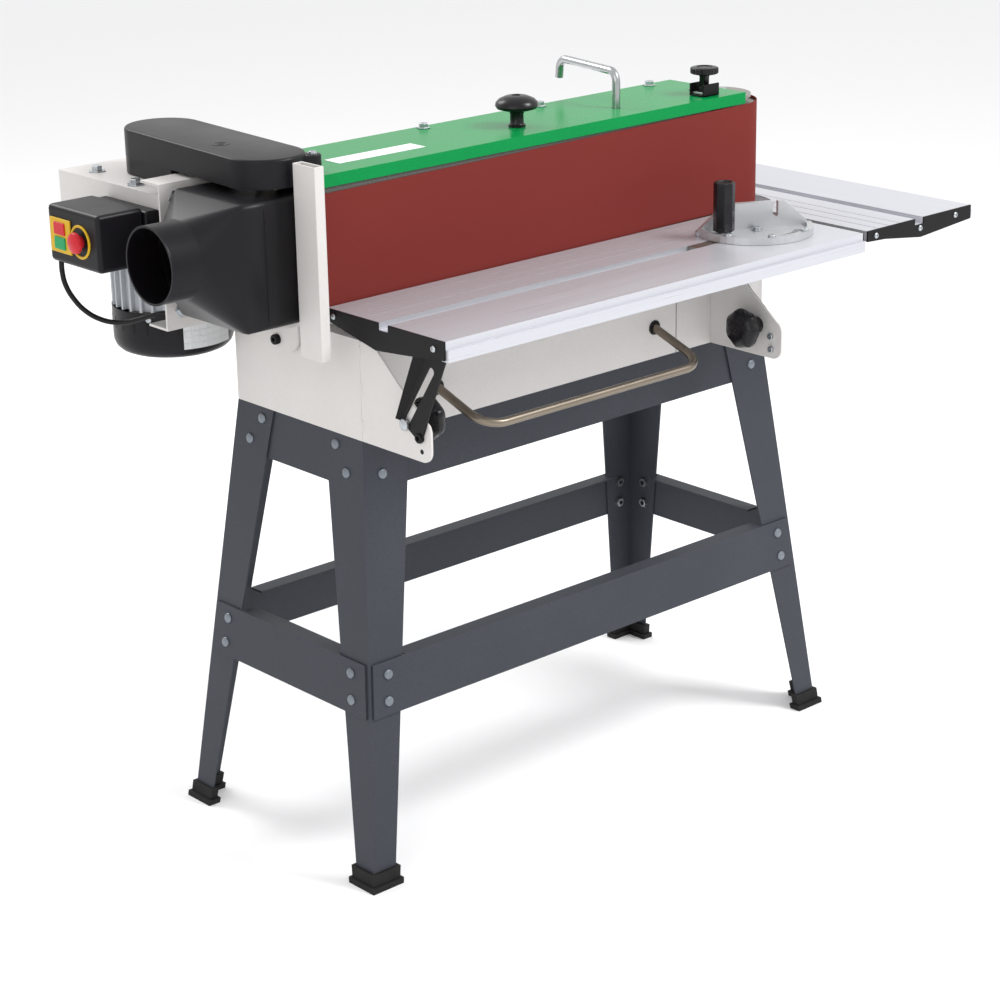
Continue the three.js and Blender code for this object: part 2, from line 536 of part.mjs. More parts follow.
const [leftRoller, rightRoller] = [[ROLLER.left, ROLLER.y], [ROLLER.right, ROLLER.y]];
const beltOuter = loopOutline(leftRoller, BELT.outer, rightRoller, BELT.outer, 20);
const beltInner = loopOutline(leftRoller, BELT.outer - BELT.thick, rightRoller, BELT.outer - BELT.thick, 20);
const beltRing = prism('z', beltOuter, BELT.bottom, BELT.top, [beltInner.reverse()]);
add('sanding_belt', beltRing.applyMatrix4(new THREE.Matrix4().makeShear(0, BELT.climb, 0, 0, 0, 0)),
  'abrasive');

add('drive_roller', turned('z', ROLLER.left, ROLLER.y, [
  [0, 742], [MOTOR.shaft, 742], [MOTOR.shaft, ROLLER.bottom], [ROLLER.radius, ROLLER.bottom],
    [ROLLER.radius, ROLLER.top],
  [MOTOR.shaft, ROLLER.top], [MOTOR.shaft, DRIVE_PULLEY.bottom], [DRIVE_PULLEY.drive, DRIVE_PULLEY.bottom],
  [DRIVE_PULLEY.drive, DRIVE_PULLEY.top], [MOTOR.shaft, DRIVE_PULLEY.top], [MOTOR.shaft, 955], [0, 955],
], 36), 'bareSteel');

const axle = 9.5;
add('idler_roller', turned('z', ROLLER.right, ROLLER.y, [
  [axle + 0.5, ROLLER.bottom], [ROLLER.radius, ROLLER.bottom], [ROLLER.radius, ROLLER.top],
  [axle + 0.5, ROLLER.top], [axle + 0.5, ROLLER.bottom],
], 36), 'bareSteel');
const idlerPlate = [...arc(ROLLER.right, ROLLER.y, 52, -90, 90, 16), [ROLLER.right - 12, 27],
  [ROLLER.right - 12, -77]];
add('idler_carriage', join(
  box(ROLLER.right - 12, ROLLER.right + 12, ROLLER.y - 11.6, ROLLER.y + 11.6, 746, 760),
  cylinder('z', ROLLER.right, ROLLER.y, 22, baseTop + FIT, 761),
  cylinder('z', ROLLER.right, ROLLER.y, axle, 760, 927),
  prism('z', idlerPlate, 925.4, 929.6),
), 'bareSteel');

// Folded green cover: front lip over the platen, top and rear guard, with holes for the three controls.
const { front: lipY, back: skirtY, top: coverTop, sheet: fold } = COVER;
const coverOutline = [[lipY, COVER.lip], [lipY + fold, COVER.lip], [lipY + fold, coverTop - fold],
  [skirtY - fold, coverTop - fold],
  [skirtY - fold, COVER.skirt], [skirtY, COVER.skirt], [skirtY, coverTop], [lipY, coverTop]];
const coverHoles = [[LEVER.x, LEVER.y, LEVER.radius + 0.8], [TOP_KNOB.x, TOP_KNOB.y, 5.8], [TRACKING.x,
  TRACKING.y, 4.8]];
const stadium = (radius) => loopOutline(DRIVE_COVER.front, radius, DRIVE_COVER.back, radius, 14);
add('top_cover', cut(
  prism('x', coverOutline, COVER.left, COVER.right),
  prism('z', stadium(DRIVE_COVER.radius + 1.5), 905, 945),
  ...coverHoles.map(([x, y, r]) => cylinder('z', x, y, r, 930, 945)),
), 'greenSteel');

add('top_knob', turned('z', TOP_KNOB.x, TOP_KNOB.y, [
  [0, 924], [5, 924], [5, 938.8], [11, 938.8], [11, 957], [23, 959], [TOP_KNOB.radius, 965],
  [TOP_KNOB.radius, 972], [24, 979], [9, 982], [0, 981],
]), 'blackPlastic');
add('tracking_knob', turned('z', TRACKING.x, TRACKING.y, [
  [0, 927], [4, 927], [4, 944.4], [8.5, 944.4], [8.5, 969], [TRACKING.radius, 970], [TRACKING.radius,
    978], [17, 980], [0, 980],
]), 'blackPlastic');
const [reachX, reachY] = LEVER.reach;
add('tension_lever', bentBar([
  [LEVER.x, LEVER.y, 900], [LEVER.x, LEVER.y, LEVER.height], [reachX, reachY, LEVER.height],
    [reachX + 0.8, reachY + 4, LEVER.tip],
], LEVER.radius, 13, 36), 'zinc');

// ---- left end: stop post, dust hood, drive ------------------------------------------------------------
const rectangle = (x0, x1, y0, y1) => [[x0, y0], [x1, y0], [x1, y1], [x0, y1]];
const { wall: postWall } = STOP_POST;
add('stop_post', prism(
  'z', rectangle(STOP_POST.left, STOP_POST.right, STOP_POST.front, STOP_POST.back), STOP_POST.bottom,
    STOP_POST.top,
  [rectangle(STOP_POST.left + postWall, STOP_POST.right - postWall, STOP_POST.front + postWall,
    STOP_POST.back - postWall)],
), 'warmGreySteel');

// The hood is a box that narrows to the round dust port; every section has the same count of points.
const HOOD_POINTS = 32;
function hoodSection(x, round, inset) {
  return arc(0, 0, 1, 45, 405 - 360 / HOOD_POINTS, HOOD_POINTS - 1).map(([c, s]) => {
    if (round) return [x, PORT.y + (PORT.radius - inset) * c, PORT.z + (PORT.radius - inset) * s];
    const reach = Math.max(Math.abs(c), Math.abs(s));
    const [midY, midZ] = [(HOOD.front + HOOD.back) / 2, (HOOD.bottom + HOOD.top) / 2];
    const [halfY, halfZ] = [(HOOD.back - HOOD.front) / 2 - inset, (HOOD.top - HOOD.bottom) / 2 - inset];
    return [x, midY + (halfY * c) / reach, midZ + (halfZ * s) / reach];
  });
}
const sideways = ([, y, z]) => new THREE.Vector2(y, z);
const hoodSkin = (right, left, throat, mouth, inset) => loft([
  hoodSection(right, false, inset), hoodSection(left, false, inset),
  hoodSection(throat, true, inset), hoodSection(mouth, true, inset),
], sideways, true);
const shaftHole = cylinder('z', ROLLER.left, ROLLER.y, MOTOR.shaft + 2, 750, 930);
add('dust_hood', cut(
  hoodSkin(HOOD.right, HOOD.left, PORT.start, PORT.end, 0),
  hoodSkin(HOOD.right + 5, HOOD.left + 1, PORT.start + 1, PORT.end - 5, HOOD.wall),
  shaftHole,
), 'blackPlastic');

const { sheet: channelSheet, depth: channelDepth, front: webY } = CHANNEL;
const channelOutline = [
  [webY, CHANNEL.bottom], [webY + channelDepth, CHANNEL.bottom], [webY + channelDepth,
    CHANNEL.bottom + channelSheet],
  [webY + channelSheet, CHANNEL.bottom + channelSheet], [webY + channelSheet, CHANNEL.top - channelSheet],
  [webY + channelDepth, CHANNEL.top - channelSheet], [webY + channelDepth, CHANNEL.top], [webY,
    CHANNEL.top]];
add('motor_channel', prism('x', channelOutline, CHANNEL.left, CHANNEL.right), 'warmGreySteel');

const plateOutline = [
  [MOTOR_PLATE.left, MOTOR_PLATE.flangeBottom], [MOTOR_PLATE.left + 3, MOTOR_PLATE.flangeBottom],
  [MOTOR_PLATE.left + 3, MOTOR_PLATE.bottom], [MOTOR_PLATE.right, MOTOR_PLATE.bottom],
  [MOTOR_PLATE.right, MOTOR_PLATE.top], [MOTOR_PLATE.left, MOTOR_PLATE.top]];
add('motor_plate', cut(
  prism('y', plateOutline, MOTOR_PLATE.front, MOTOR_PLATE.back),
  cylinder('z', MOTOR.x, MOTOR.y, 20, 890, 920),
), 'warmGreySteel');

const FINS = 30;
const finnedOutline = Array.from({ length: FINS }, (_, i) => (360 / FINS) * i).flatMap((deg) => [
  ...arc(MOTOR.x, MOTOR.y, MOTOR.radius - 7, deg - 4, deg - 1.4, 1),
  ...arc(MOTOR.x, MOTOR.y, MOTOR.radius, deg - 1.2, deg + 1.2, 1),
  ...arc(MOTOR.x, MOTOR.y, MOTOR.radius - 7, deg + 1.4, deg + 4, 1),
]);
const shaftBore = circle(MOTOR.x, MOTOR.y, MOTOR.shaft + 0.6, 20).reverse();
add('motor_housing', prism('z', finnedOutline, MOTOR.bottom, MOTOR.top, [shaftBore]), 'motorGrey');
add('fan_cover', turned('z', MOTOR.x, MOTOR.y, [
  [0, FAN_COVER.bottom], [66, FAN_COVER.bottom], [77, 673], [FAN_COVER.radius, 684], [FAN_COVER.radius,
    FAN_COVER.top],
  [FAN_COVER.radius - 2.5, FAN_COVER.top], [FAN_COVER.radius - 2.5, 685], [75, 676], [65, 671], [0, 671],
], 36), 'blackPlastic');
add('motor_rotor', turned('z', MOTOR.x, MOTOR.y, [
  [0, 677], [MOTOR.shaft, 677], [MOTOR.shaft, 690], [64, 690], [64, 712], [MOTOR.shaft, 712],
  [MOTOR.shaft, DRIVE_PULLEY.bottom], [DRIVE_PULLEY.motor, DRIVE_PULLEY.bottom], [DRIVE_PULLEY.motor,
    DRIVE_PULLEY.top],
  [MOTOR.shaft, DRIVE_PULLEY.top], [MOTOR.shaft, 955], [0, 955],
], 24), 'bareSteel');

const motorAxis = [MOTOR.x, MOTOR.y];
const ribbedBelt = (grow) => loopOutline(leftRoller, DRIVE_PULLEY.drive + grow, motorAxis,
  DRIVE_PULLEY.motor + grow, 12);
add('drive_belt', prism('z', ribbedBelt(4.4), 934, 948, [ribbedBelt(FIT).reverse()]), 'rubber');

const lugEnd = [COVER_LUG.x, COVER_LUG.y];
add('drive_cover', cut(
  join(
    prism('z', stadium(DRIVE_COVER.radius), DRIVE_COVER.bottom, DRIVE_COVER.top),
    prism('z', loopOutline(lugEnd, COVER_LUG.radius, [-410, -50], 14, 8), COVER_LUG.bottom, COVER_LUG.top),
  ),
  prism('z', stadium(DRIVE_COVER.radius - 2.5), DRIVE_COVER.bottom - 5, DRIVE_COVER.top - 2.5),
  box(-520, -340, -110, 112, DRIVE_COVER.bottom - 5, DRIVE_COVER.step),
), 'blackPlastic');

// ---- switch box, buttons and cable --------------------------------------------------------------------
const { left: facePlane, seam } = SWITCH_BOX;
const rockerPocket = (z, grow) => box(facePlane - ROCKER.proud, facePlane + ROCKER.depth,
  ROCKER.y - ROCKER.halfWidth - grow,
  ROCKER.y + ROCKER.halfWidth + grow, z - ROCKER.halfHeight - grow, z + ROCKER.halfHeight + grow);
const deeper = (geometry) => geometry.translate(4.5, 0, 0);
add('switch_box', cut(
  join(
    box(facePlane, seam, SWITCH_BOX.front, SWITCH_BOX.back, SWITCH_BOX.bottom, SWITCH_BOX.top),
    box(seam - 1, SWITCH_BOX.right, SWITCH_BOX.front - 4, SWITCH_BOX.back + 2, SWITCH_BOX.bottom + 4,
      SWITCH_BOX.top - 5),
  ),
  deeper(rockerPocket(ROCKER.stopZ, 0.5)), rockerPocket(ROCKER.stopZ, 0.5),
  deeper(rockerPocket(ROCKER.startZ, 0.5)), rockerPocket(ROCKER.startZ, 0.5),
  cylinder('x', E_STOP.y, E_STOP.z, E_STOP.stem + 0.5, facePlane - 5, facePlane + 18),
), 'blackPlastic');
add('stop_button', rockerPocket(ROCKER.stopZ, 0), 'red');
add('start_button', rockerPocket(ROCKER.startZ, 0), 'green');
add('emergency_stop', turned('x', E_STOP.y, E_STOP.z, [
  [0, 10], [E_STOP.stem, 10], [E_STOP.stem, -6], [E_STOP.cap, -9], [E_STOP.cap, -15], [12,
    -E_STOP.proud], [0, -E_STOP.proud - 1],
].map(([r, h]) => [r, facePlane + h]), 24), 'red');

const cablePath = new THREE.CatmullRomCurve3(CABLE_ROUTE.map((point) => new THREE.Vector3(...point)));
add('motor_cable', sweep(cablePath, CABLE_RADIUS, 24, 8), 'rubber');

// ---- origin: the middle of the machine's footprint box, on the floor ------------------------------------
const footprint = new THREE.Box3().setFromObject(machine);
const centre = footprint.getCenter(new THREE.Vector3());
machine.position.set(-centre.x, -centre.y, -footprint.min.z);

export default machine;
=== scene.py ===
import math

import bmesh
import bpy
from mathutils import Matrix, Vector


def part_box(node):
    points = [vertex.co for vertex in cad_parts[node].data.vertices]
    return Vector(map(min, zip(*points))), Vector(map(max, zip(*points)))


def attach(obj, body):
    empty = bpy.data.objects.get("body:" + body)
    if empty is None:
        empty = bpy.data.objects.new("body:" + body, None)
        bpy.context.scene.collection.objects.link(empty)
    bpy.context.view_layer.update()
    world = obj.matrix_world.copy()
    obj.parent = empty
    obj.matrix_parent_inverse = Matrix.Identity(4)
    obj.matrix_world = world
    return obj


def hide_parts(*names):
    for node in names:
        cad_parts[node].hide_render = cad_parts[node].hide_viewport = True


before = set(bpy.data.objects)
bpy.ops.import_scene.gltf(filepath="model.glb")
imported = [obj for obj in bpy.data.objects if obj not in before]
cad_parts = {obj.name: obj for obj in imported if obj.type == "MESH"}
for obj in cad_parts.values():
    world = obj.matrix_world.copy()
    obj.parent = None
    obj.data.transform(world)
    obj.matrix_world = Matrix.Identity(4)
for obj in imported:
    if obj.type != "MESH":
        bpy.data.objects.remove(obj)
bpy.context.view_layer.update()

# ---- the studio ---------------------------------------------------------------------------------------
# The machine stands on a white paper sweep. A large soft box hangs high at its right front, a weaker one at
# its left front, and a third behind it lifts the edges. The long lens stands off the left front corner.
cabinet_low, cabinet_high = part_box("cabinet")
stand_middle = Vector((cabinet_low.x + 0.377, (cabinet_low.y + cabinet_high.y) / 2, 0))


def mm(x, y, z):
    """A point given in millimetres from the floor under the middle of the stand."""
    return stand_middle + Vector((x, y, z)) / 1000


def linear(colour):
    """An sRGB hex colour as linear RGBA."""
    parts = [int(colour[i:i + 2], 16) / 255 for i in (1, 3, 5)]
    return [c / 12.92 if c <= 0.04045 else ((c + 0.055) / 1.055) ** 2.4 for c in parts] + [1.0]


def add_node(tree, kind, feeds=None, **settings):
    """Adds one node. Its feeds set sockets, by name or number, to values or to driving sockets."""
    made = tree.nodes.new(kind)
    for name, value in settings.items():
        setattr(made, name, value)
    for name, value in (feeds or {}).items():
        if isinstance(value, bpy.types.NodeSocket):
            tree.links.new(value, made.inputs[name])
        else:
            made.inputs[name].default_value = value
    return made


def blank_material(name):
    """An empty node material: its tree, its shader and the coordinates of the piece."""
    material = bpy.data.materials.new(name)
    material.use_nodes = True
    tree = material.node_tree
    tree.nodes.clear()
    shader = tree.nodes.new("ShaderNodeBsdfPrincipled")
    output = tree.nodes.new("ShaderNodeOutputMaterial")
    tree.links.new(shader.outputs[0], output.inputs[0])
    coords = tree.nodes.new("ShaderNodeTexCoord").outputs["Object"]
    return material, tree, shader, coords


def blend(tree, amount, low, high):
    """A colour between two; each is a hex value or a socket."""
    low, high = (linear(c) if isinstance(c, str) else c for c in (low, high))
    return add_node(tree, "ShaderNodeMix", {0: amount, 6: low, 7: high}, data_type="RGBA")


def drive(tree, shader, **feeds):
    """Sets sockets of the shader; an underscore in a name stands for a space."""
    for name, value in feeds.items():
        socket = shader.inputs[name.replace("_", " ")]
        if isinstance(value, bpy.types.NodeSocket):
            tree.links.new(value, socket)
        else:
            socket.default_value = value


azimuth, elevation, roll = (math.radians(v) for v in (-41.821, 19.471, -1.044))
back = Vector((
    math.sin(azimuth) * math.cos(elevation), -math.cos(azimuth) * math.cos(elevation), math.sin(elevation)))
level = Vector((math.cos(azimuth), math.sin(azimuth), 0))
rise = back.cross(level)
side = math.cos(roll) * level + math.sin(roll) * rise
rise = math.cos(roll) * rise - math.sin(roll) * level
lens = bpy.data.cameras.new("long_lens")
lens.sensor_width = 36
lens.lens = 90.77
lens.clip_end = 100
camera = bpy.data.objects.new("camera", lens)
turned_to = Matrix((side, rise, back)).transposed().to_4x4()
camera.matrix_world = Matrix.Translation(mm(-2296.3, -2540.05, 1601.2)) @ turned_to
bpy.context.scene.collection.objects.link(camera)
bpy.context.scene.camera = camera
bpy.context.scene.view_settings.view_transform = "Standard"

paper, tree, shader, coords = blank_material("matt white paper sweep")
drive(tree, shader, Base_Color=linear("#f4f4f5"), Roughness=0.9)
bm = bmesh.new()
bmesh.ops.create_grid(bm, x_segments=1, y_segments=1, size=25)
floor_mesh = bpy.data.meshes.new("floor")
bm.to_mesh(floor_mesh)
bm.free()
floor_mesh.materials.append(paper)
floor = bpy.data.objects.new("floor", floor_mesh)
bpy.context.scene.collection.objects.link(floor)

for name, place, aim, size, watts in (
    ("key_box", (1500, -2300, 3300), (0, 0, 600), 1.2, 100),
    ("fill_box", (-3200, -1500, 1900), (0, 0, 600), 2.4, 20),
    ("back_box", (-600, 2600, 2900), (0, 0, 700), 1.6, 50),
):
    lamp = bpy.data.lights.new(name, "AREA")
    lamp.size = size
    lamp.energy = watts
    light = bpy.data.objects.new(name, lamp)
    turned_to = (mm(*place) - mm(*aim)).to_track_quat("Z", "Y").to_matrix().to_4x4()
    light.matrix_world = Matrix.Translation(mm(*place)) @ turned_to
    bpy.context.scene.collection.objects.link(light)
world = bpy.data.worlds.new("studio")
world.use_nodes = True
world.node_tree.nodes["Background"].inputs["Color"].default_value = (1, 1, 1, 1)
world.node_tree.nodes["Background"].inputs["Strength"].default_value = 0.95
bpy.context.scene.world = world

# ---- motor cable --------------------------------------------------------------------------------------
# A 6.8 mm round PVC cable joins the switch box to the motor. It leaves the box downwards, hangs in one loose
# bow under its own weight and runs in behind the mounting channel to the motor.
pvc, tree, shader, coords = blank_material("black PVC cable jacket")
mottle = add_node(tree, "ShaderNodeTexNoise", {"Vector": coords, "Scale": 220.0, "Detail": 3.0})
shade = blend(tree, mottle.outputs[0], "#0e0e10", "#171618")
bump = add_node(tree, "ShaderNodeBump", {"Height": mottle.outputs[0], "Strength": 0.2, "Distance": 0.0002})
drive(tree, shader, Base_Color=shade.outputs[2], Roughness=0.45, Specular_IOR_Level=0.25,
      Normal=bump.outputs[0])

cable_route = [
    (-603, 190, 819.4), (-603, 190, 806), (-601, 188, 789), (-594, 181, 769), (-583, 171, 752),
    (-569, 161, 741), (-555, 151, 736), (-543, 140, 736), (-533, 127, 740), (-524, 112, 746),
    (-516, 96, 751), (-511, 80, 753),
]
line = bpy.data.curves.new("motor_cable_jacket", "CURVE")
line.dimensions = "3D"
line.bevel_depth = 0.0034
line.bevel_resolution = 5
line.resolution_u = 8
line.use_fill_caps = True
spline = line.splines.new("BEZIER")
spline.bezier_points.add(len(cable_route) - 1)
for knot, point in zip(spline.bezier_points, cable_route):
    knot.co = mm(*point)
    knot.handle_left_type = knot.handle_right_type = "AUTO"
line.materials.append(pvc)
cable = bpy.data.objects.new("motor_cable_jacket", line)
bpy.context.scene.collection.objects.link(cable)
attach(cable, "head")
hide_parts("motor_cable")


# ---- stand --------------------------------------------------------------------------------------------
# Four folded angle legs and eight rails of 2.5 mm sheet steel, sprayed with blue-grey powder that bakes to a
# satin skin with a faint orange peel. Galvanised carriage bolts with domed heads join them, two at each end.
def sprayed(name, colour, deep, roughness, peel=0.35, grain=420.0, shine=0.3):
    """Paint or powder on steel: a slight drift of tone, a fine peel, and dust-dulled patches in the gloss."""
    material, tree, shader, coords = blank_material(name)
    cloud = add_node(tree, "ShaderNodeTexNoise", {"Vector": coords, "Scale": 6.0, "Detail": 4.0})
    fleck = add_node(tree, "ShaderNodeTexNoise", {"Vector": coords, "Scale": grain, "Detail": 2.0})
    both = add_node(tree, "ShaderNodeMath", {0: cloud.outputs[0], 1: fleck.outputs[0]}, operation="MULTIPLY")
    spread = add_node(tree, "ShaderNodeMapRange",
                      {"Value": both.outputs[0], "From Min": 0.12, "From Max": 0.42})
    tone = blend(tree, spread.outputs[0], deep, colour)
    gloss = add_node(tree, "ShaderNodeMapRange", {
        "Value": cloud.outputs[0], "To Min": roughness - 0.05, "To Max": roughness + 0.07})
    bump = add_node(tree, "ShaderNodeBump",
                    {"Height": fleck.outputs[0], "Strength": peel, "Distance": 0.00012})
    drive(tree, shader, Base_Color=tone.outputs[2], Roughness=gloss.outputs[0], Specular_IOR_Level=shine,
          Normal=bump.outputs[0])
    return material


def coat_nodes(material, *names):
    for name in names:
        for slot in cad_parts[name].material_slots:
            slot.material = material


powder = sprayed("blue-grey powder coat on sheet steel", "#3d4047", "#35383f", 0.5, shine=0.22)
leg_names = [f"leg_{face}_{end}" for face in ("front", "back") for end in ("left", "right")]
rail_names = [f"{level}_rail_{face}" for level in ("upper", "lower") for face in ("front", "back", "left",
                                                                                  "right")]
coat_nodes(powder, *leg_names, *rail_names)


def bright_metal(name, colour, deep, roughness, grain=160.0, stretch=(1, 1, 1), bumps=0.15):
    """Bare or plated metal: drawing or turning marks in the gloss, a slight cast in the tone."""
    material, tree, shader, coords = blank_material(name)
    run = add_node(tree, "ShaderNodeMapping", {"Vector": coords, "Scale": stretch})
    lines = add_node(tree, "ShaderNodeTexNoise",
                     {"Vector": run.outputs[0], "Scale": grain, "Detail": 4.0, "Roughness": 0.6})
    cloud = add_node(tree, "ShaderNodeTexNoise", {"Vector": coords, "Scale": 9.0, "Detail": 3.0})
    tone = blend(tree, cloud.outputs[0], deep, colour)
    gloss = add_node(tree, "ShaderNodeMapRange", {
        "Value": lines.outputs[0], "From Min": 0.3, "From Max": 0.7, "To Min": roughness - 0.07,
        "To Max": roughness + 0.1})
    bump = add_node(tree, "ShaderNodeBump",
                    {"Height": lines.outputs[0], "Strength": bumps, "Distance": 0.0001})
    drive(tree, shader, Base_Color=tone.outputs[2], Metallic=1.0, Roughness=gloss.outputs[0],
          Normal=bump.outputs[0])
    return material


zinc = bright_metal("bright zinc plate", "#c9cdd0", "#a3a8ac", 0.32)


def turned(profile, steps=32):
    """A blank turned about Z. Its profile is [radius, height] in millimetres, from the axis and back."""
    bm = bmesh.new()
    points = [bm.verts.new((r / 1000, 0, h / 1000)) for r, h in profile]
    edges = [bm.edges.new(pair) for pair in zip(points, points[1:])]
    bmesh.ops.spin(bm, geom=points + edges, axis=(0, 0, 1), cent=(0, 0, 0), angle=math.tau, steps=steps,
                   use_merge=True)
    bmesh.ops.remove_doubles(bm, verts=bm.verts, dist=1e-6)
    bmesh.ops.recalc_face_normals(bm, faces=bm.faces)
    return bm


def prism(outline, axis, low, high):
    """A flat blank with this outline, in millimetres, between two levels along X, Y or Z of the machine."""
    order = {"X": lambda u, v: (low, u, v), "Y": lambda u, v: (u, low, v), "Z": lambda u,
             v: (u, v, low)}[axis]
    bm = bmesh.new()
    face = bm.faces.new([bm.verts.new(mm(*order(u, v))) for u, v in outline])
    grown = bmesh.ops.extrude_face_region(bm, geom=[face], use_keep_orig=True)["geom"]
    lift = Vector((axis == "X", axis == "Y", axis == "Z")) * (high - low) / 1000
    bmesh.ops.translate(bm, verts=[g for g in grown if isinstance(g, bmesh.types.BMVert)], vec=lift)
    bmesh.ops.recalc_face_normals(bm, faces=bm.faces)
    return bm


def block(x0, x1, y0, y1, z0, z1):
    return prism([(x0, y0), (x1, y0), (x1, y1), (x0, y1)], "Z", z0, z1)


def set_out(*blanks_and_places):
    """Copies each blank to its places, (point, direction its Z axis takes), in one mesh."""
    whole = bmesh.new()
    for blank, places in blanks_and_places:
        shape = bpy.data.meshes.new("blank")
        blank.to_mesh(shape)
        blank.free()
        for point, direction in places:
            start = len(whole.verts)
            whole.from_mesh(shape)
            whole.verts.ensure_lookup_table()
            turn = Vector(direction).to_track_quat("Z", "Y").to_matrix().to_4x4()
            bmesh.ops.transform(whole, matrix=Matrix.Translation(point) @ turn, verts=whole.verts[start:])
        bpy.data.meshes.remove(shape)
    return whole


def gather(*blanks):
    """Several blanks already in place, as one mesh."""
    whole = bmesh.new()
    for blank in blanks:
        shape = bpy.data.meshes.new("blank")
        blank.to_mesh(shape)
        blank.free()
        whole.from_mesh(shape)
        bpy.data.meshes.remove(shape)
    return whole


def piece(bm, name, body, material, rounding=0.0, stands_for=()):
    """Makes a finished piece of a mesh that is in place, with its edges broken by a small round."""
    mesh = bpy.data.meshes.new(name)
    bm.to_mesh(mesh)
    bm.free()
    mesh.shade_smooth()
    mesh.set_sharp_from_angle(angle=math.radians(35))
    mesh.materials.append(material)
    made = bpy.data.objects.new(name, mesh)
    bpy.context.scene.collection.objects.link(made)
    if rounding:
        edge = made.modifiers.new("broken edges", "BEVEL")
        edge.width = rounding / 1000
        edge.segments = 3
        edge.limit_method = "ANGLE"
        edge.angle_limit = math.radians(40)
        edge.harden_normals = True
    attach(made, body)
    if stands_for:
        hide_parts(*stands_for)
    return made


STAND_TOP = 597


def half_length(z):
    """Half the stand's length at a height: it narrows by 63 mm from the floor to its top."""
    return 440 - 63 * z / STAND_TOP


def half_depth(z):
    """Half the stand's depth at a height: it narrows by 69 mm from the floor to its top."""
    return 202 - 69 * z / STAND_TOP


DOME = [(0, 0), (6.9, 0), (7.1, 0.7), (6.4, 2.1), (4.2, 3.2), (0, 3.7)]
HEX_NUT = [(4.2, 0), (7.6, 0), (7.6, 5.5), (4.2, 5.5)]
heads = []
for sx in (-1, 1):
    for sy in (-1, 1):
        for u, z, skin in ((52, 582, 0), (31, 549, 0), (30, 286, 3), (30, 250, 3)):
            heads.append((mm(sx * (half_length(z) - u), sy * (half_depth(z) + skin), z), (0, sy, 0.115)))
            heads.append((mm(sx * (half_length(z) + skin), sy * (half_depth(z) - u - 4), z), (sx, 0, 0.105)))
dull_zinc = bright_metal("dull passivated zinc", "#8f959c", "#6f757c", 0.42)
piece(set_out((turned(DOME, 24), heads)), "stand_bolts", "stand", dull_zinc)

nuts = []
for point, direction in heads:
    inward = -Vector(direction).normalized()
    nuts.append((point + inward * (0.0062 if point.z > 0.4 else 0.0056), inward))
nut = turned(HEX_NUT + [HEX_NUT[0]], 6)
piece(set_out((nut, nuts)), "stand_nuts", "stand", zinc)

# ---- feet ---------------------------------------------------------------------------------------------
# Black rubber boots pushed over the leg ends, with a spread sole. Moulded rubber is dull, with a dusty bloom.
boot_rubber, tree, shader, coords = blank_material("moulded black rubber")
bloom = add_node(tree, "ShaderNodeTexNoise", {"Vector": coords, "Scale": 60.0, "Detail": 5.0})
shade = blend(tree, bloom.outputs[0], "#0b0b0b", "#242322")
bump = add_node(tree, "ShaderNodeBump", {"Height": bloom.outputs[0], "Strength": 0.3, "Distance": 0.0004})
drive(tree, shader, Base_Color=shade.outputs[2], Roughness=0.72, Specular_IOR_Level=0.25,
      Normal=bump.outputs[0])
coat_nodes(boot_rubber, *[f"foot_{face}_{end}" for face in ("front", "back") for end in ("left", "right")])

# ---- cabinet and table ears ---------------------------------------------------------------------------
# Folded 2 mm sheet steel in warm light grey paint. The front panel meets the right end in a lap seam, the
# ears are stitched to the corners with short welds, and each carries a black stop screw under the table arm.
grey_paint = sprayed("warm light grey paint on sheet steel", "#d2cfcd", "#c8c5c2", 0.42, peel=0.2,
                     grain=700.0)
coat_nodes(grey_paint, "cabinet", "table_ear_left", "table_ear_right", "pivot_rail", "head_frame",
           "motor_channel", "motor_plate")
weld = turned([(0, -9), (1.6, -8), (2.2, 0), (1.6, 8), (0, 9)], 10)
places = [(mm(x, -134.2, z), (0, 0, 1)) for x in (-376.5, 272) for z in (618, 668, 716)]
piece(set_out((weld, places)), "ear_welds", "stand", grey_paint)
seam = block(198.4, 199.4, -133.35, -132.9, 598, 731.5)
dark_gap = sprayed("shadowed sheet gap", "#5c5a58", "#4a4846", 0.7)
piece(seam, "cabinet_seam", "stand", dark_gap)

black_steel = sprayed("blackened steel and satin black paint", "#161416", "#0e0d0f", 0.45, peel=0.3,
                      grain=500.0, shine=0.18)
stop_screw = turned([(0, 0), (6.2, 0), (6.6, 1), (6.6, 5), (5.8, 6), (3.2, 6), (3.0, 3.5), (0, 3.5)], 20)
# Below each stop screw a flat black disk stands for a dimple in the ear: painted shade in the recess.
dimple_shade_disk = turned([(0, 0), (3.2, 0), (3.2, 0.25), (0, 0.25)], 20)
ear_sides = ((-377, -1), (273, 1))
piece(set_out((stop_screw, [(mm(x, -250, 629.5), (s, 0, 0)) for x, s in ear_sides]),
              (dimple_shade_disk, [(mm(x, -251, 611), (s, 0, 0)) for x, s in ear_sides])),
      "ear_stop_screws_and_dimple_shade", "stand", black_steel)
screw_end = turned([(0, 0), (4.6, 0), (4.6, 3.4), (3.8, 4.2), (1.8, 4.2), (1.8, 2.6), (0, 2.6)], 20)
ends = [(mm(x, y, z), (s, 0, 0)) for x, s in ((-374, 1), (270, -1)) for y, z in ((-250, 629.5), (-251, 611))]
piece(set_out((screw_end, ends)), "ear_screw_ends", "stand", zinc)

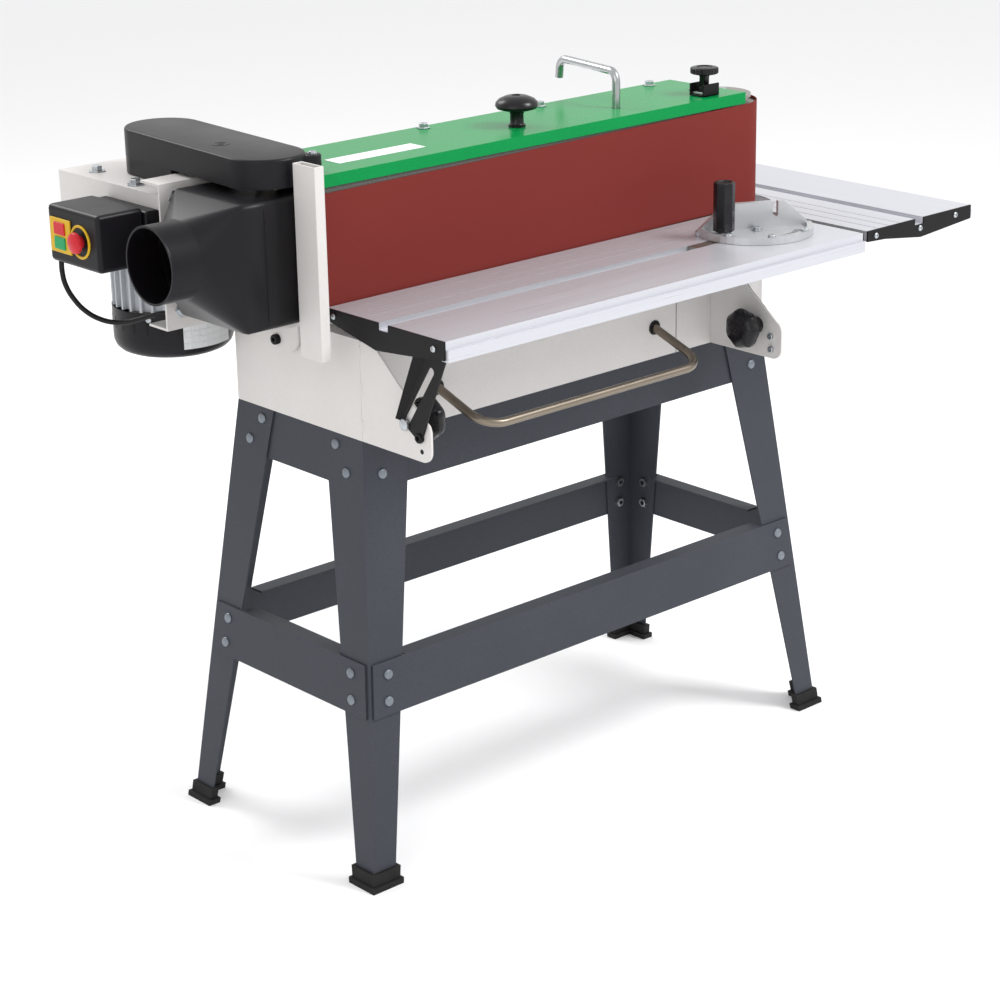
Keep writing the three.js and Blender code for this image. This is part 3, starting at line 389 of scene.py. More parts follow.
# ---- guard bar ----------------------------------------------------------------------------------------
# A 12 mm round bar bent to a wide U in front of the cabinet, under the table's front edge. Its satin
# bronze-grey paint shows a soft line of light along the top. Washers sit where it enters the sheet.
def drawn(points, bend, radius, name, body, material, stands_for=(), resolution=10):
    """A round bar along straight runs, its corners bent to a radius, made a mesh with closed ends."""
    line = bpy.data.curves.new(name, "CURVE")
    line.dimensions = "3D"
    line.bevel_depth = radius / 1000
    line.bevel_resolution = 6
    line.resolution_u = resolution
    line.use_fill_caps = True
    knots = [Vector(points[0])]
    handles = [None]
    for before, corner, after in zip(points, points[1:], points[2:]):
        corner = Vector(corner)
        enter = corner + (Vector(before) - corner).normalized() * bend
        leave = corner + (Vector(after) - corner).normalized() * bend
        knots += [enter, leave]
        handles += [(enter, corner), (corner, leave)]
    knots.append(Vector(points[-1]))
    spline = line.splines.new("BEZIER")
    spline.bezier_points.add(len(knots) - 1)
    for i, (knot, point) in enumerate(zip(spline.bezier_points, knots)):
        knot.handle_left_type = knot.handle_right_type = "FREE"
        knot.co = mm(*point)
        knot.handle_left = knot.handle_right = knot.co
        if 0 < i < len(knots) - 1:
            corner = Vector(points[(i + 1) // 2])
            towards = mm(*point.lerp(corner, 0.56))
            if i % 2:
                knot.handle_right = towards
            else:
                knot.handle_left = towards
    shape = bpy.data.objects.new(name, line)
    bpy.context.scene.collection.objects.link(shape)
    mesh = bpy.data.meshes.new_from_object(shape.evaluated_get(bpy.context.evaluated_depsgraph_get()))
    bpy.data.objects.remove(shape)
    bm = bmesh.new()
    bm.from_mesh(mesh)
    bmesh.ops.remove_doubles(bm, verts=bm.verts, dist=1e-6)
    bmesh.ops.recalc_face_normals(bm, faces=bm.faces)
    return piece(bm, name, body, material, stands_for=stands_for)


bronze = bright_metal("satin bronze-grey bar", "#948a7c", "#776e62", 0.34, grain=90.0, stretch=(0.2, 1, 1))
drawn([(-249, -118, 648), (-249, -228, 609), (155, -228, 609), (155, -118, 648)], 34, 6, "guard_bar_tube",
      "stand", bronze, stands_for=["guard_bar"])
bushes = turned([(6.3, 0), (10.5, 0), (10.5, 1.2), (8.6, 2.2), (6.3, 2.2), (6.3, 0)], 24)
piece(set_out((bushes, [(mm(x, -133.1, 642.7), (0, -1, 0)) for x in (-249, 155)])), "guard_bar_bushes",
      "stand", black_steel)

# ---- work table ---------------------------------------------------------------------------------------
# A pressed aluminium profile, brushed along its length and left bare: fine grooves, a mitre slot and a
# stepped front edge. The brushing makes long streaks in the gloss that follow X.
def brushed_aluminium(name, stretch, low_gloss, high_gloss, hazy):
    """An extrusion brushed along one axis, the one its stretch leaves nearly alone."""
    material, tree, shader, coords = blank_material(name)
    run = add_node(tree, "ShaderNodeMapping", {"Vector": coords, "Scale": stretch})
    streaks = add_node(tree, "ShaderNodeTexNoise", {
        "Vector": run.outputs[0], "Scale": 3.0, "Detail": 6.0, "Roughness": 0.65})
    tone = blend(tree, streaks.outputs[0], "#aeb0b6", "#d6d6dc")
    if hazy:
        cloud = add_node(tree, "ShaderNodeTexNoise", {"Vector": coords, "Scale": 5.0, "Detail": 3.0})
        tone = blend(tree, cloud.outputs[0], tone.outputs[2], "#c6c7cd")
    gloss = add_node(tree, "ShaderNodeMapRange", {
        "Value": streaks.outputs[0], "From Min": 0.3, "From Max": 0.7, "To Min": low_gloss,
        "To Max": high_gloss})
    bump = add_node(tree, "ShaderNodeBump",
                    {"Height": streaks.outputs[0], "Strength": 0.18, "Distance": 0.0001})
    drive(tree, shader, Base_Color=tone.outputs[2], Metallic=0.45, Roughness=gloss.outputs[0],
          Normal=bump.outputs[0])
    return material


brushed = brushed_aluminium("brushed aluminium extrusion", (1.2, 260.0, 60.0), 0.26, 0.44, hazy=True)
coat_nodes(brushed, "table_top")

# The end caps are 2 mm steel in satin black, each held by two pan-head zinc screws.
coat_nodes(black_steel, "table_cap_left", "table_cap_right")
PAN_SCREW = [(0, 0), (4.2, 0), (4.2, 0.9), (3.2, 2.0), (1.6, 2.3), (1.4, 1.4), (0, 1.4)]
screws = [(mm(-393.3, y, z), (-1, 0, 0)) for y, z in ((-104, 761), (-297, 757))]
screws += [(mm(384.3, y, z), (1, 0, 0)) for y, z in ((-104, 761), (-297, 757))]
piece(set_out((turned(PAN_SCREW, 16), screws)), "table_cap_screws", "table", zinc)

# Support arms: 2.6 mm steel in the same black. The left one is folded and slotted for the clamp bolt; the
# right one is a flat cradle behind its ear.
coat_nodes(black_steel, "support_arm_left", "support_arm_right")

# ---- clamps -------------------------------------------------------------------------------------------
# Zinc carriage bolts run through arm and ear into black moulded knobs, whose rims are lobed for the fingers.
CLAMP_HEAD = [(0, -28), (4.8, -28), (5, -27), (5, 4.3), (8.1, 4.3), (8.2, 5), (7.5, 7.2), (5, 8.7), (0, 9.3)]
piece(set_out((turned(CLAMP_HEAD, 32), [(mm(-377, -224, 642), (-1, 0, 0)), (mm(273, -224, 642), (1, 0, 0))])),
      "clamp_bolts", "table_pivot", zinc, stands_for=["clamp_bolt_left", "clamp_bolt_right"])

knob_black, tree, shader, coords = blank_material("moulded black phenolic knob")
grit = add_node(tree, "ShaderNodeTexNoise", {"Vector": coords, "Scale": 130.0, "Detail": 4.0})
shade = blend(tree, grit.outputs[0], "#0c0b0e", "#171418")
gloss = add_node(tree, "ShaderNodeMapRange", {"Value": grit.outputs[0], "To Min": 0.2, "To Max": 0.36})
bump = add_node(tree, "ShaderNodeBump", {"Height": grit.outputs[0], "Strength": 0.08, "Distance": 0.0002})
drive(tree, shader, Base_Color=shade.outputs[2], Roughness=gloss.outputs[0], Specular_IOR_Level=0.3,
      Normal=bump.outputs[0])

CLAMP_KNOB = [(5.5, 3.8), (11.6, 3.8), (12, 4.4), (12, 20), (14, 23), (23, 25.5), (28, 29.5), (29, 34),
              (27.5, 40), (22, 45),
              (14, 47.4), (6, 47.8), (0, 47.4)]


def lobed(profile, lobes, depth, steps=72):
    """A turned knob whose rim is pressed in between the lobes; the press fades out towards the hub."""
    bm = turned(profile, steps)
    rim = max(r for r, h in profile) / 1000
    for vert in bm.verts:
        radius = math.hypot(vert.co.x, vert.co.y)
        if radius > 0.55 * rim:
            press = 1 - depth * (0.5 - 0.5 * math.cos(lobes * math.atan2(vert.co.y,
                                                                         vert.co.x))) * (radius / rim) ** 2
            vert.co.x *= press
            vert.co.y *= press
    return bm


for end, x, way in (("left", -377, 1), ("right", 273, -1)):
    profile = [(0, 30), (5.5, 30)] + CLAMP_KNOB
    bm = set_out((lobed(profile, 7, 0.07), [(mm(x, -224, 642), (way, 0, 0))]))
    piece(bm, f"lock_knob_{end}_grip", f"{end}_knob", knob_black,
          stands_for=[f"lock_knob_{end}"])

# ---- mitre gauge --------------------------------------------------------------------------------------
# A bare steel bar in the slot carries a half-round casting with a machined rim, an arc slot and a fence. The
# casting is fine-grained aluminium. A black eight-sided handle on a washer clamps it.
steel = bright_metal("bare ground steel", "#aaa79f", "#8c8982", 0.36, grain=120.0, stretch=(0.15, 1, 1))
coat_nodes(steel, "mitre_bar", "drive_roller", "idler_roller", "idler_carriage", "motor_rotor")
casting, tree, shader, coords = blank_material("cast aluminium, bead blasted")
pores = add_node(tree, "ShaderNodeTexNoise", {"Vector": coords, "Scale": 650.0, "Detail": 3.0})
cloud = add_node(tree, "ShaderNodeTexNoise", {"Vector": coords, "Scale": 22.0, "Detail": 4.0})
tone = blend(tree, cloud.outputs[0], "#b2b3b6", "#d2d3d5")
bump = add_node(tree, "ShaderNodeBump", {"Height": pores.outputs[0], "Strength": 0.3, "Distance": 0.0002})
drive(tree, shader, Base_Color=tone.outputs[2], Metallic=0.7, Roughness=0.38, Normal=bump.outputs[0])
coat_nodes(casting, "mitre_head")

grip = turned([(0, 781.2), (14.0, 781.2), (15.2, 783), (15.2, 849.5), (13.8, 851), (9.5, 851),
               (9.0, 849), (0, 849)], 8)
piece(set_out((grip, [(mm(222, -201.5, 0), (0, 0, 1))])), "mitre_handle_grip", "mitre_handle", knob_black,
      rounding=1.0, stands_for=["mitre_handle"])
collar = turned([(0, 764), (3.9, 764), (3.9, 775.9), (11, 775.9), (11, 777.6), (8.6, 777.6), (8.6, 781.2),
                 (0, 781.2)], 28)
piece(set_out((collar, [(mm(222, -201.5, 0), (0, 0, 1))])), "mitre_handle_stud", "mitre_handle", zinc)

gauge_turn = math.radians(-29.3)


def on_gauge(u, v, z):
    """A point on the casting: u along the fence, v behind it, in millimetres from its pivot."""
    c, s = math.cos(gauge_turn), math.sin(gauge_turn)
    return mm(284 + u * c - v * s, -201.5 + u * s + v * c, z)


stud = turned([(0, 0), (5.5, 0), (5.5, 2.6), (4.6, 3.4), (2.2, 3.4), (2.0, 2.2), (0, 2.2)], 20)
stops = [(on_gauge(78.5 * math.cos(math.radians(a)), 78.5 * math.sin(math.radians(a)), 780.2),
          (0, 0, 1)) for a in (225, 270, 315)]
pivot_stud = turned([(0, 0), (8, 0), (8, 1.4), (6, 1.4), (6, 4.4), (5.2, 5), (2.6, 5), (2.4, 3.2),
                     (0, 3.2)], 24)
piece(set_out((stud, stops), (pivot_stud, [(on_gauge(0, -14, 775.2), (0, 0, 1))])), "mitre_stops",
      "mitre_head", zinc)

# ---- end table ----------------------------------------------------------------------------------------
# The second table is a length of the same profile set across the end, with a black cap and a folded bracket.
cross_brushed = brushed_aluminium(
    "brushed aluminium extrusion, set across", (260.0, 1.2, 60.0), 0.32, 0.48, hazy=False)
coat_nodes(cross_brushed, "end_table_top")
coat_nodes(black_steel, "end_table_cap", "end_table_bracket")
screws = [(mm(x, -303.3, z), (0, -1, 0)) for x, z in ((428, 756), (526, 750), (606, 756))]
piece(set_out((turned(PAN_SCREW, 16), screws)), "end_table_cap_screws", "stand", zinc)

# ---- platen and sanding belt --------------------------------------------------------------------------
# The platen is faced with grey graphite cloth, which shows as a dark strip above the belt. The belt is
# brown-red aluminium oxide on cloth, closed with a slanted butt joint that is not drawn; its grit sparkles
# only faintly.
graphite, tree, shader, coords = blank_material("graphite-coated cloth")
weave = add_node(tree, "ShaderNodeTexNoise", {"Vector": coords, "Scale": 380.0, "Detail": 3.0})
shade = blend(tree, weave.outputs[0], "#3c3b39", "#6b6965")
bump = add_node(tree, "ShaderNodeBump", {"Height": weave.outputs[0], "Strength": 0.4, "Distance": 0.0003})
drive(tree, shader, Base_Color=shade.outputs[2], Roughness=0.85, Specular_IOR_Level=0.2,
      Normal=bump.outputs[0])
coat_nodes(graphite, "platen_pad")

# The real grit is 0.2 mm; it is drawn at 1.2 mm, the finest that still shows.
abrasive, tree, shader, coords = blank_material("aluminium oxide cloth, medium grit")
grains = add_node(tree, "ShaderNodeTexNoise", {"Vector": coords, "Scale": 850.0, "Detail": 2.0})
cloud = add_node(tree, "ShaderNodeTexNoise", {"Vector": coords, "Scale": 7.0, "Detail": 3.0})
shade = blend(tree, grains.outputs[0], "#521b18", "#8a3a34")
drift = blend(tree, cloud.outputs[0], shade.outputs[2], "#702a27")
bump = add_node(tree, "ShaderNodeBump", {"Height": grains.outputs[0], "Strength": 0.55, "Distance": 0.0003})
drive(tree, shader, Base_Color=drift.outputs[2], Roughness=0.82, Specular_IOR_Level=0.12,
      Normal=bump.outputs[0])


def loop_band(x0, x1, y, radius, wall, z0, z1, steps=64):
    """A closed band round two rollers: a ring of posts, one half moved out along X, skinned and thickened."""
    bm = bmesh.new()
    bmesh.ops.create_circle(bm, segments=steps, radius=radius / 1000)
    bmesh.ops.rotate(bm, verts=bm.verts, cent=(0, 0, 0), matrix=Matrix.Rotation(math.pi / steps, 3, "Z"))
    bmesh.ops.translate(bm, verts=[v for v in bm.verts if v.co.x > 0], vec=((x1 - x0) / 1000, 0, 0))
    bmesh.ops.translate(bm, verts=bm.verts, vec=mm(x0, y, z0))
    grown = bmesh.ops.extrude_edge_only(bm, edges=bm.edges)["geom"]
    bmesh.ops.translate(bm, verts=[g for g in grown if isinstance(g, bmesh.types.BMVert)],
                        vec=(0, 0, (z1 - z0) / 1000))
    bmesh.ops.recalc_face_normals(bm, faces=bm.faces)
    bmesh.ops.solidify(bm, geom=bm.faces, thickness=wall / 1000)
    return bm


# The cloth runs a few millimetres higher on the idler, so its grey backing shows as a wedge at the left.
belt = loop_band(-423.6, 389.8, -25, 60.8, 1.3, 767.4, 917.4, 96)
for vert in belt.verts:
    vert.co.z += 0.008 * (vert.co.x - stand_middle.x)
piece(belt, "sanding_belt_loop", "head", abrasive, stands_for=["sanding_belt"])

# ---- rollers and drive inside the covers ----------------------------------------------------------------
# Steel rollers, pulleys and the rubber belt work inside; only the idler's top plate and its nut show.
coat_nodes(boot_rubber, "drive_belt")
hex_head = turned([(0, 0), (9.2, 0), (9.2, 5.6), (8.4, 6.4), (0, 6.4)], 6)
piece(set_out((hex_head, [(mm(400, -25, 929.7), (0, 0, 1))])), "idler_nut", "idler_carriage", zinc,
      rounding=0.5)

# ---- top cover ----------------------------------------------------------------------------------------
# 2 mm steel folded down in front and behind, sprayed gloss green. Hexagon bolts hold it, and a blank white
# plate stands where a maker fixes a label. The left end is cut round the drive cover.
green = sprayed("gloss green paint on sheet steel", "#008844", "#00803f", 0.22, peel=0.1, grain=300.0,
                shine=0.12)
fold = add_node(green.node_tree, "ShaderNodeBevel", {"Radius": 0.0012}, samples=6)
for node in [n for n in green.node_tree.nodes if n.bl_idname == "ShaderNodeBump"]:
    green.node_tree.links.new(fold.outputs[0], node.inputs["Normal"])
coat_nodes(green, "top_cover")
cover_bolt = turned([(0, 0), (9.5, 0), (9.5, 1.4), (6.6, 1.4), (6.6, 6.6), (5.8, 7.2), (0, 7.2)], 6)
piece(set_out((cover_bolt, [(mm(x, y, 938.4), (0, 0, 1)) for x, y in ((-104, 52), (112, 52), (332, 53))])),
      "cover_bolts", "head", zinc, rounding=0.4)
label_white = sprayed("white printed foil", "#e9e9ea", "#dfe0e1", 0.35, peel=0.05)
piece(block(-329, -184, -46, -15, 938.35, 938.75), "cover_label", "head", label_white)

# ---- top knob, tracking knob and tension lever ----------------------------------------------------------
# The mushroom knob is glossy phenolic on a threaded stem with a washer. The tracking knob is knurled and
# stands on a black fork over a bright block. The lever is a bent rod of zinc-plated steel.
MUSHROOM = [(0, 938.8), (5, 938.8), (5, 939.2), (12, 939.2), (12, 941.4), (10.5, 942), (9.4, 944),
            (9.2, 956), (11, 959.5),
            (20, 961.5), (27, 963.6), (29.5, 967.5), (28.6, 972), (24, 976.5), (16, 980), (9, 981.4),
            (7.4, 981.2), (6.4, 980),
            (0, 979.4)]
piece(set_out((turned(MUSHROOM, 56), [(mm(-9.4, -32.6, 0), (0, 0, 1))])), "top_knob_grip", "top_knob",
      knob_black, stands_for=["top_knob"])

KNURLED = [(0, 944.6), (8.6, 944.6), (8.6, 949), (7, 950), (7, 965), (9, 968.6), (18.6, 969.4),
           (20.3, 970.6), (20.3, 977.2),
           (18.8, 978.6), (12, 979.6), (10.6, 978.4), (0, 978.4)]
knob = turned(KNURLED, 96)
for vert in knob.verts:
    if math.hypot(vert.co.x, vert.co.y) > 0.0185:
        flute = 1 - 0.045 * (0.5 + 0.5 * math.cos(24 * math.atan2(vert.co.y, vert.co.x)))
        vert.co.x *= flute
        vert.co.y *= flute
piece(set_out((knob, [(mm(331, -58.6, 0), (0, 0, 1))])), "tracking_knob_grip", "tracking_knob", knob_black,
      stands_for=["tracking_knob"])
fork = gather(block(315, 347, -73, -70, 938.5, 956), block(315, 347, -47.5, -44.5, 938.5, 956),
              block(315, 347, -73, -44.5, 938.5, 941))
piece(fork, "tracking_fork", "head", black_steel, rounding=0.7)
piece(block(318, 344, -69.6, -47.9, 941.2, 944.2), "tracking_block", "head", zinc, rounding=0.6)
clamp_stud = turned([(0, 0), (7.5, 0), (7.5, 1.5), (5, 1.5), (5, 8), (0, 8.6)], 24)
piece(set_out((clamp_stud, [(mm(352, -18, 938.4), (0, 0, 1))])), "tracking_lock_stud", "head", zinc)

rod = bright_metal("polished zinc-plated rod", "#c4c6c6", "#9fa2a3", 0.24, grain=80.0)
drawn([(176, -36, 900), (176, -36, 989), (203, 105, 989), (203.8, 109, 961)], 14, 5.8, "tension_lever_rod",
      "tension_lever", rod, stands_for=["tension_lever"])

# ---- stop post ----------------------------------------------------------------------------------------
# A rectangular steel tube in the grey paint stands at the left end of the belt and stops the work. Its top
# is open.
post = prism([(-439, -136), (-424, -136), (-424, -92.4), (-439, -92.4)], "Z", 715, 963)
lid = [face for face in post.faces if face.normal.z > 0.9]
bmesh.ops.inset_individual(post, faces=lid, thickness=0.002, use_even_offset=True)
bore = bmesh.ops.extrude_discrete_faces(post, faces=lid)["faces"]
bmesh.ops.translate(post, verts=bore[0].verts, vec=(0, 0, -0.2))
piece(post, "stop_post_tube", "head", grey_paint, rounding=1.4, stands_for=["stop_post"])

# ---- dust hood ----------------------------------------------------------------------------------------
# Moulded black plastic: a tall box round the drive roller that draws in to a 100 mm spigot for the extraction
# hose, with flat triangles between its corners and the round. A fine seam runs down its front.
moulded, tree, shader, coords = blank_material("satin black moulded ABS")
pebble = add_node(tree, "ShaderNodeTexNoise", {"Vector": coords, "Scale": 300.0, "Detail": 2.0})
cloud = add_node(tree, "ShaderNodeTexNoise", {"Vector": coords, "Scale": 10.0, "Detail": 3.0})
shade = blend(tree, cloud.outputs[0], "#0e0d10", "#1a181c")
gloss = add_node(tree, "ShaderNodeMapRange", {"Value": cloud.outputs[0], "To Min": 0.3, "To Max": 0.44})
bump = add_node(tree, "ShaderNodeBump", {"Height": pebble.outputs[0], "Strength": 0.12, "Distance": 0.0002})
drive(tree, shader, Base_Color=shade.outputs[2], Roughness=gloss.outputs[0], Specular_IOR_Level=0.2,
      Normal=bump.outputs[0])

HOOD_STEPS = 64


def hood_ring(bm, x, across, high, corner, middle):
    """A ring of the hood's skin at one station: a rounded oblong about (y, z), or the round spigot."""
    ring = bmesh.ops.create_circle(bm, segments=HOOD_STEPS, radius=1.0)["verts"]
    for vert in ring:
        angle = math.atan2(vert.co.y, vert.co.x) + math.pi / HOOD_STEPS
        c, s = math.cos(angle), math.sin(angle)
        y = middle[0] + math.copysign(across - corner, c) + corner * c
        vert.co = mm(x, y, middle[1] + math.copysign(high - corner, s) + corner * s)
    return ring


bm = bmesh.new()
box_middle, port_middle = (-19, 839.75), (-24, 852)
stations = [(-436, 73, 82.25, 8, box_middle), (-514, 73, 82.25, 8, box_middle),
            (-519, 71.6, 80.8, 9, (-19.1, 840)),
            (-566, 51, 51, 51, port_middle), (-568, 49.8, 49.8, 49.8, port_middle),
            (-611, 49.8, 49.8, 49.8, port_middle), (-612, 49.3, 49.3, 49.3, port_middle)]
rings = [hood_ring(bm, *station) for station in stations]
bm.edges.ensure_lookup_table()
for near, far in zip(rings, rings[1:]):
    edges = {edge for vert in near + far for edge in vert.link_edges
             if all(v in near or v in far for v in edge.verts)}
    edges = [edge for edge in edges
             if all(v in near for v in edge.verts) or all(v in far for v in edge.verts)]
    bmesh.ops.bridge_loops(bm, edges=edges)
bmesh.ops.recalc_face_normals(bm, faces=bm.faces)
hood = piece(bm, "dust_hood_shell", "head", moulded, stands_for=["dust_hood"])
wall = hood.modifiers.new("wall", "SOLIDIFY")
wall.thickness = 0.0025
wall.offset = -1

lip = turned([(47.0, 0), (50.0, 0), (50.0, 2.0), (47.0, 2.0), (47.0, 0)], 64)
piece(set_out((lip, [(mm(-610.5, -24, 852), (-1, 0, 0))])), "dust_port_lip", "head", moulded,
      rounding=0.4)
joint = block(-486, -484.8, -92.3, -91.2, 770, 912)
piece(joint, "hood_seam", "head", black_steel)

# ---- drive cover --------------------------------------------------------------------------------------
# A deep-drawn black cover over the pulleys, oval in plan, with a small round to its top edge, a sunk screw in
# its top, and a lug that a bright screw holds over the green cover.
def oval(front, rear, radius, steps=72):
    """A flat oval face: a circle about the front point whose rear half is moved to the rear point."""
    bm = bmesh.new()
    bmesh.ops.create_circle(bm, segments=steps, radius=radius / 1000, cap_ends=True)
    way = (Vector(rear) - Vector(front)) / 1000
    across = math.atan2(way.y, way.x)
    bmesh.ops.rotate(bm, verts=bm.verts, cent=(0, 0, 0),
                     matrix=Matrix.Rotation(across + math.pi / 2 + math.pi / steps, 3, "Z"))
    for vert in [v for v in bm.verts if v.co.x * way.x + v.co.y * way.y > 0]:
        vert.co += Vector((way.x, way.y, 0))
    bmesh.ops.translate(bm, verts=bm.verts, vec=(front[0] / 1000, front[1] / 1000, 0))
    return bm


bm = oval((-437, -32), (-420, 208), 52)
bmesh.ops.translate(bm, verts=bm.verts, vec=mm(0, 0, 930.6))
top = list(bm.faces)
for lift, inset in ((0.0333, 0.0), (0.00124, 0.0002), (0.00112, 0.00057), (0.00088, 0.00089),
                    (0.00057, 0.00112), (0.0002, 0.00124)):
    grown = bmesh.ops.extrude_face_region(bm, geom=top)["geom"]
    top = [g for g in grown if isinstance(g, bmesh.types.BMFace)]
    verts = [g for g in grown if isinstance(g, bmesh.types.BMVert)]
    bmesh.ops.translate(bm, verts=verts, vec=(0, 0, lift))
    if inset:
        for vert in verts:
            front, rear = mm(-437, -32, 0), mm(-420, 208, 0)
            along = (rear - front)
            t = max(0.0, min(1.0, (vert.co - front).xy.dot(along.xy) / along.xy.length_squared))
            centre = front + along * t
            away = (vert.co - centre).xy
            away = away.normalized() * (away.length - inset)
            vert.co.xy = centre.xy + away
bmesh.ops.recalc_face_normals(bm, faces=bm.faces)
piece(bm, "drive_cover_shell", "head", moulded, stands_for=["drive_cover"])
bm = oval((-437, -32), (-420, 208), 51.8)
bmesh.ops.translate(bm, verts=bm.verts, vec=mm(0, 0, 907.7))
bmesh.ops.bisect_plane(bm, geom=bm.verts[:] + bm.edges[:] + bm.faces[:], plane_co=mm(0, 112, 0),
                       plane_no=(0, -1, 0), clear_outer=True)
grown = bmesh.ops.extrude_face_region(bm, geom=list(bm.faces), use_keep_orig=True)["geom"]
bmesh.ops.translate(bm, verts=[g for g in grown if isinstance(g, bmesh.types.BMVert)], vec=(0, 0, 0.0232))
bmesh.ops.recalc_face_normals(bm, faces=bm.faces)
piece(bm, "drive_cover_skirt", "head", moulded, rounding=0.8)

pocket = turned([(0, 0), (11, 0), (11, 0.5), (8.4, 0.5), (7.6, 0.1), (0, 0.1)], 28)
piece(set_out((pocket, [(mm(-444, 48, 967.8), (0, 0, 1))])), "cover_screw_pocket", "head", moulded)
pocket_screw = turned([(0, 0), (4.6, 0), (4.6, 0.2), (3.6, 0.35), (1.8, 0.4), (1.6, 0.2), (0, 0.2)], 20)
piece(set_out((pocket_screw, [(mm(-444, 48, 967.9), (0, 0, 1))])), "cover_screw", "head", black_steel)
lug = oval((-384, -61), (-410, -50), 12, 32)
bmesh.ops.translate(lug, verts=lug.verts, vec=mm(0, 0, 939.2))
grown = bmesh.ops.extrude_face_region(lug, geom=list(lug.faces), use_keep_orig=True)["geom"]
bmesh.ops.translate(lug, verts=[g for g in grown if isinstance(g, bmesh.types.BMVert)], vec=(0, 0, 0.0226))
bmesh.ops.recalc_face_normals(lug, faces=lug.faces)
piece(lug, "drive_cover_lug", "head", moulded, rounding=2.0)
lug_screw = turned([(0, 0), (6.4, 0), (6.4, 0.9), (4.8, 0.9), (4.6, 2.6), (3.4, 3.3), (1.6, 3.3),
                    (1.5, 2.0), (0, 2.0)], 24)
piece(set_out((lug_screw, [(mm(-382, -60, 961.8), (0, 0, 1))])), "lug_screw", "head", zinc)

# ---- motor --------------------------------------------------------------------------------------------
# A vertical motor with an extruded finned housing in light grey, hung under a painted plate. A black cover
# with air slots closes the fan end, and a blank rating plate is fixed to the front of the cover.
motor_grey = sprayed("light grey motor enamel", "#b9bdc1", "#a8acb1", 0.4, peel=0.25, grain=450.0)
coat_nodes(motor_grey, "motor_housing")
FAN_CUP = [(0, 668), (58, 668), (66, 669), (73, 672), (78, 677), (80.6, 684), (81, 692), (81, 731.4),
           (78.6, 731.4),
           (78.6, 686), (75, 677), (66, 671.4), (0, 670.4)]
piece(set_out((turned(FAN_CUP, 72), [(mm(-425, 206, 0), (0, 0, 1))])), "fan_cup", "head", moulded,
      stands_for=["fan_cover"])
# The air slots are thin black plates laid on the cup's skin: painted shade where the openings are.
slots = []
for angle in range(0, 360, 15):
    a = math.radians(angle)
    slots.append((mm(-425 + 80.9 * math.cos(a), 206 + 80.9 * math.sin(a), 712),
                  (math.cos(a), math.sin(a), 0)))
slot_shade_plate = bmesh.new()
bmesh.ops.create_cube(slot_shade_plate, size=1.0)
bmesh.ops.scale(slot_shade_plate, verts=slot_shade_plate.verts, vec=(0.0034, 0.016, 0.0006))
piece(set_out((slot_shade_plate, slots)), "fan_slot_shade_plates", "head", black_steel)
rating = sprayed("blank silver rating plate", "#d3d5d6", "#c4c6c8", 0.3, peel=0.05)
plate_turn = math.radians(271)
plate = bmesh.new()
bmesh.ops.create_grid(plate, x_segments=7, y_segments=5, size=0.5)
bmesh.ops.scale(plate, verts=plate.verts, vec=(0.076, 0.042, 1))
bmesh.ops.inset_individual(plate, faces=plate.faces, thickness=0.0005, depth=0.0)
cells = [face for face in plate.faces if face.calc_area() > 2.5e-5]
bmesh.ops.translate(plate, verts=list({v for face in cells for v in face.verts}), vec=(0, 0, 0.0004))
bmesh.ops.rotate(plate, verts=plate.verts, cent=(0, 0, 0), matrix=Matrix.Rotation(math.pi / 2, 3, "X"))
for vert in plate.verts:
    around = plate_turn + vert.co.x / 0.0813
    reach = 0.0813 + max(0.0, -vert.co.y)
    vert.co = mm(-425, 206, 704) + Vector((reach * math.cos(around), reach * math.sin(around), vert.co.z))
bmesh.ops.recalc_face_normals(plate, faces=plate.faces)
piece(plate, "rating_plate", "head", rating)

cup_turn = math.radians(212)
cup_way = Vector((math.cos(cup_turn), math.sin(cup_turn), 0))
piece(set_out((turned(PAN_SCREW, 16), [(mm(-425, 206, 724.7) + cup_way * 0.081, cup_way)])),
      "fan_cup_screw", "head", zinc)

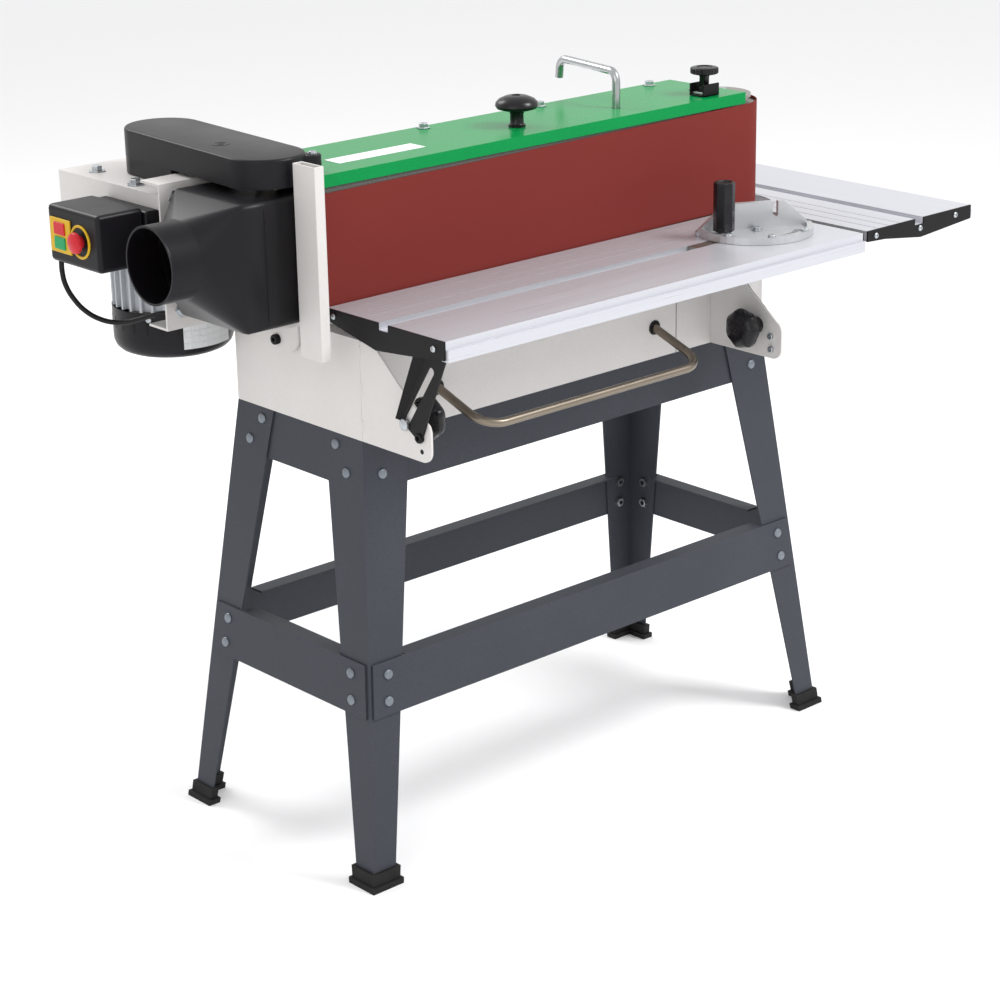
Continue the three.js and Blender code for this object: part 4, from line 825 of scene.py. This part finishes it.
# ---- motor mounting -----------------------------------------------------------------------------------
# Hexagon bolts with washers hold the motor plate to the channel and the channel to the head. A black socket
# screw locks the tilt in its slotted quadrant.
mount_bolt = turned([(0, 0), (12.5, 0), (12.5, 1.6), (7.5, 1.6), (7.5, 7.2), (6.6, 8), (0, 8)], 6)
spots = [(mm(x, y, 907.1), (0, 0, 1)) for x, y in ((-488, 270), (-500, 163), (-366, 270))]
spots += [(mm(x, 66, z), (0, -1, 0)) for x in (-505, -395) for z in (760, 905)]
piece(set_out((mount_bolt, spots)), "motor_mount_bolts", "head", zinc, rounding=0.4)
lock_screw = turned([(0, 0), (7, 0), (7, 6), (6.4, 7), (3, 7), (3, 3.4), (0, 3.4)], 24)
piece(set_out((lock_screw, [(mm(-383.1, 30, 703), (-1, 0, 0))])), "tilt_lock_screw", "head", black_steel)

# ---- switch box ---------------------------------------------------------------------------------------
# A black moulded box with rounded corners. A yellow frame holds the green and red rockers; the red emergency
# stop stands in a yellow ring.
case = block(-610.6, -540, 88, 203, 820, 895)
piece(case, "switch_case_front", "head", moulded, rounding=6.0)
piece(block(-540.4, -517.8, 84, 205, 824, 890), "switch_case_back", "head", moulded,
      rounding=4.0, stands_for=["switch_box"])
yellow = sprayed("yellow ABS", "#d3ab1c", "#c49c14", 0.38, peel=0.08)
frame_plate = prism([(149, 835), (195, 835), (195, 880), (149, 880)], "X", -613, -610.4)
piece(frame_plate, "switch_frame", "head", yellow, rounding=1.0)
ring = turned([(18.6, 0), (22, 0), (22, 1.4), (21, 2.2), (19.4, 2.2), (18.6, 1.4), (18.6, 0)], 48)
piece(set_out((ring, [(mm(-610.5, 128.6, 856), (-1, 0, 0))])), "stop_ring", "head", yellow)
red = sprayed("red ABS", "#c8202b", "#b91a25", 0.3, peel=0.06)
rocker_green = sprayed("green ABS", "#12995a", "#0d8b4f", 0.3, peel=0.06)
piece(block(-615, -599.5, 160, 184, 859, 875), "stop_rocker", "stop_button", red, rounding=1.2,
      stands_for=["stop_button"])
piece(block(-615, -599.5, 160, 184, 840, 856), "start_rocker", "start_button", rocker_green,
      rounding=1.2, stands_for=["start_button"])
MUSHROOM_STOP = [(0, -10), (8, -10), (8, 4), (12, 5), (13.8, 6.4), (14, 9), (12.8, 11.6), (8.5, 13.4),
                 (0, 14)]
piece(set_out((turned(MUSHROOM_STOP, 48), [(mm(-611, 128.6, 856), (-1, 0, 0))])), "stop_mushroom",
      "emergency_stop", red, stands_for=["emergency_stop"])
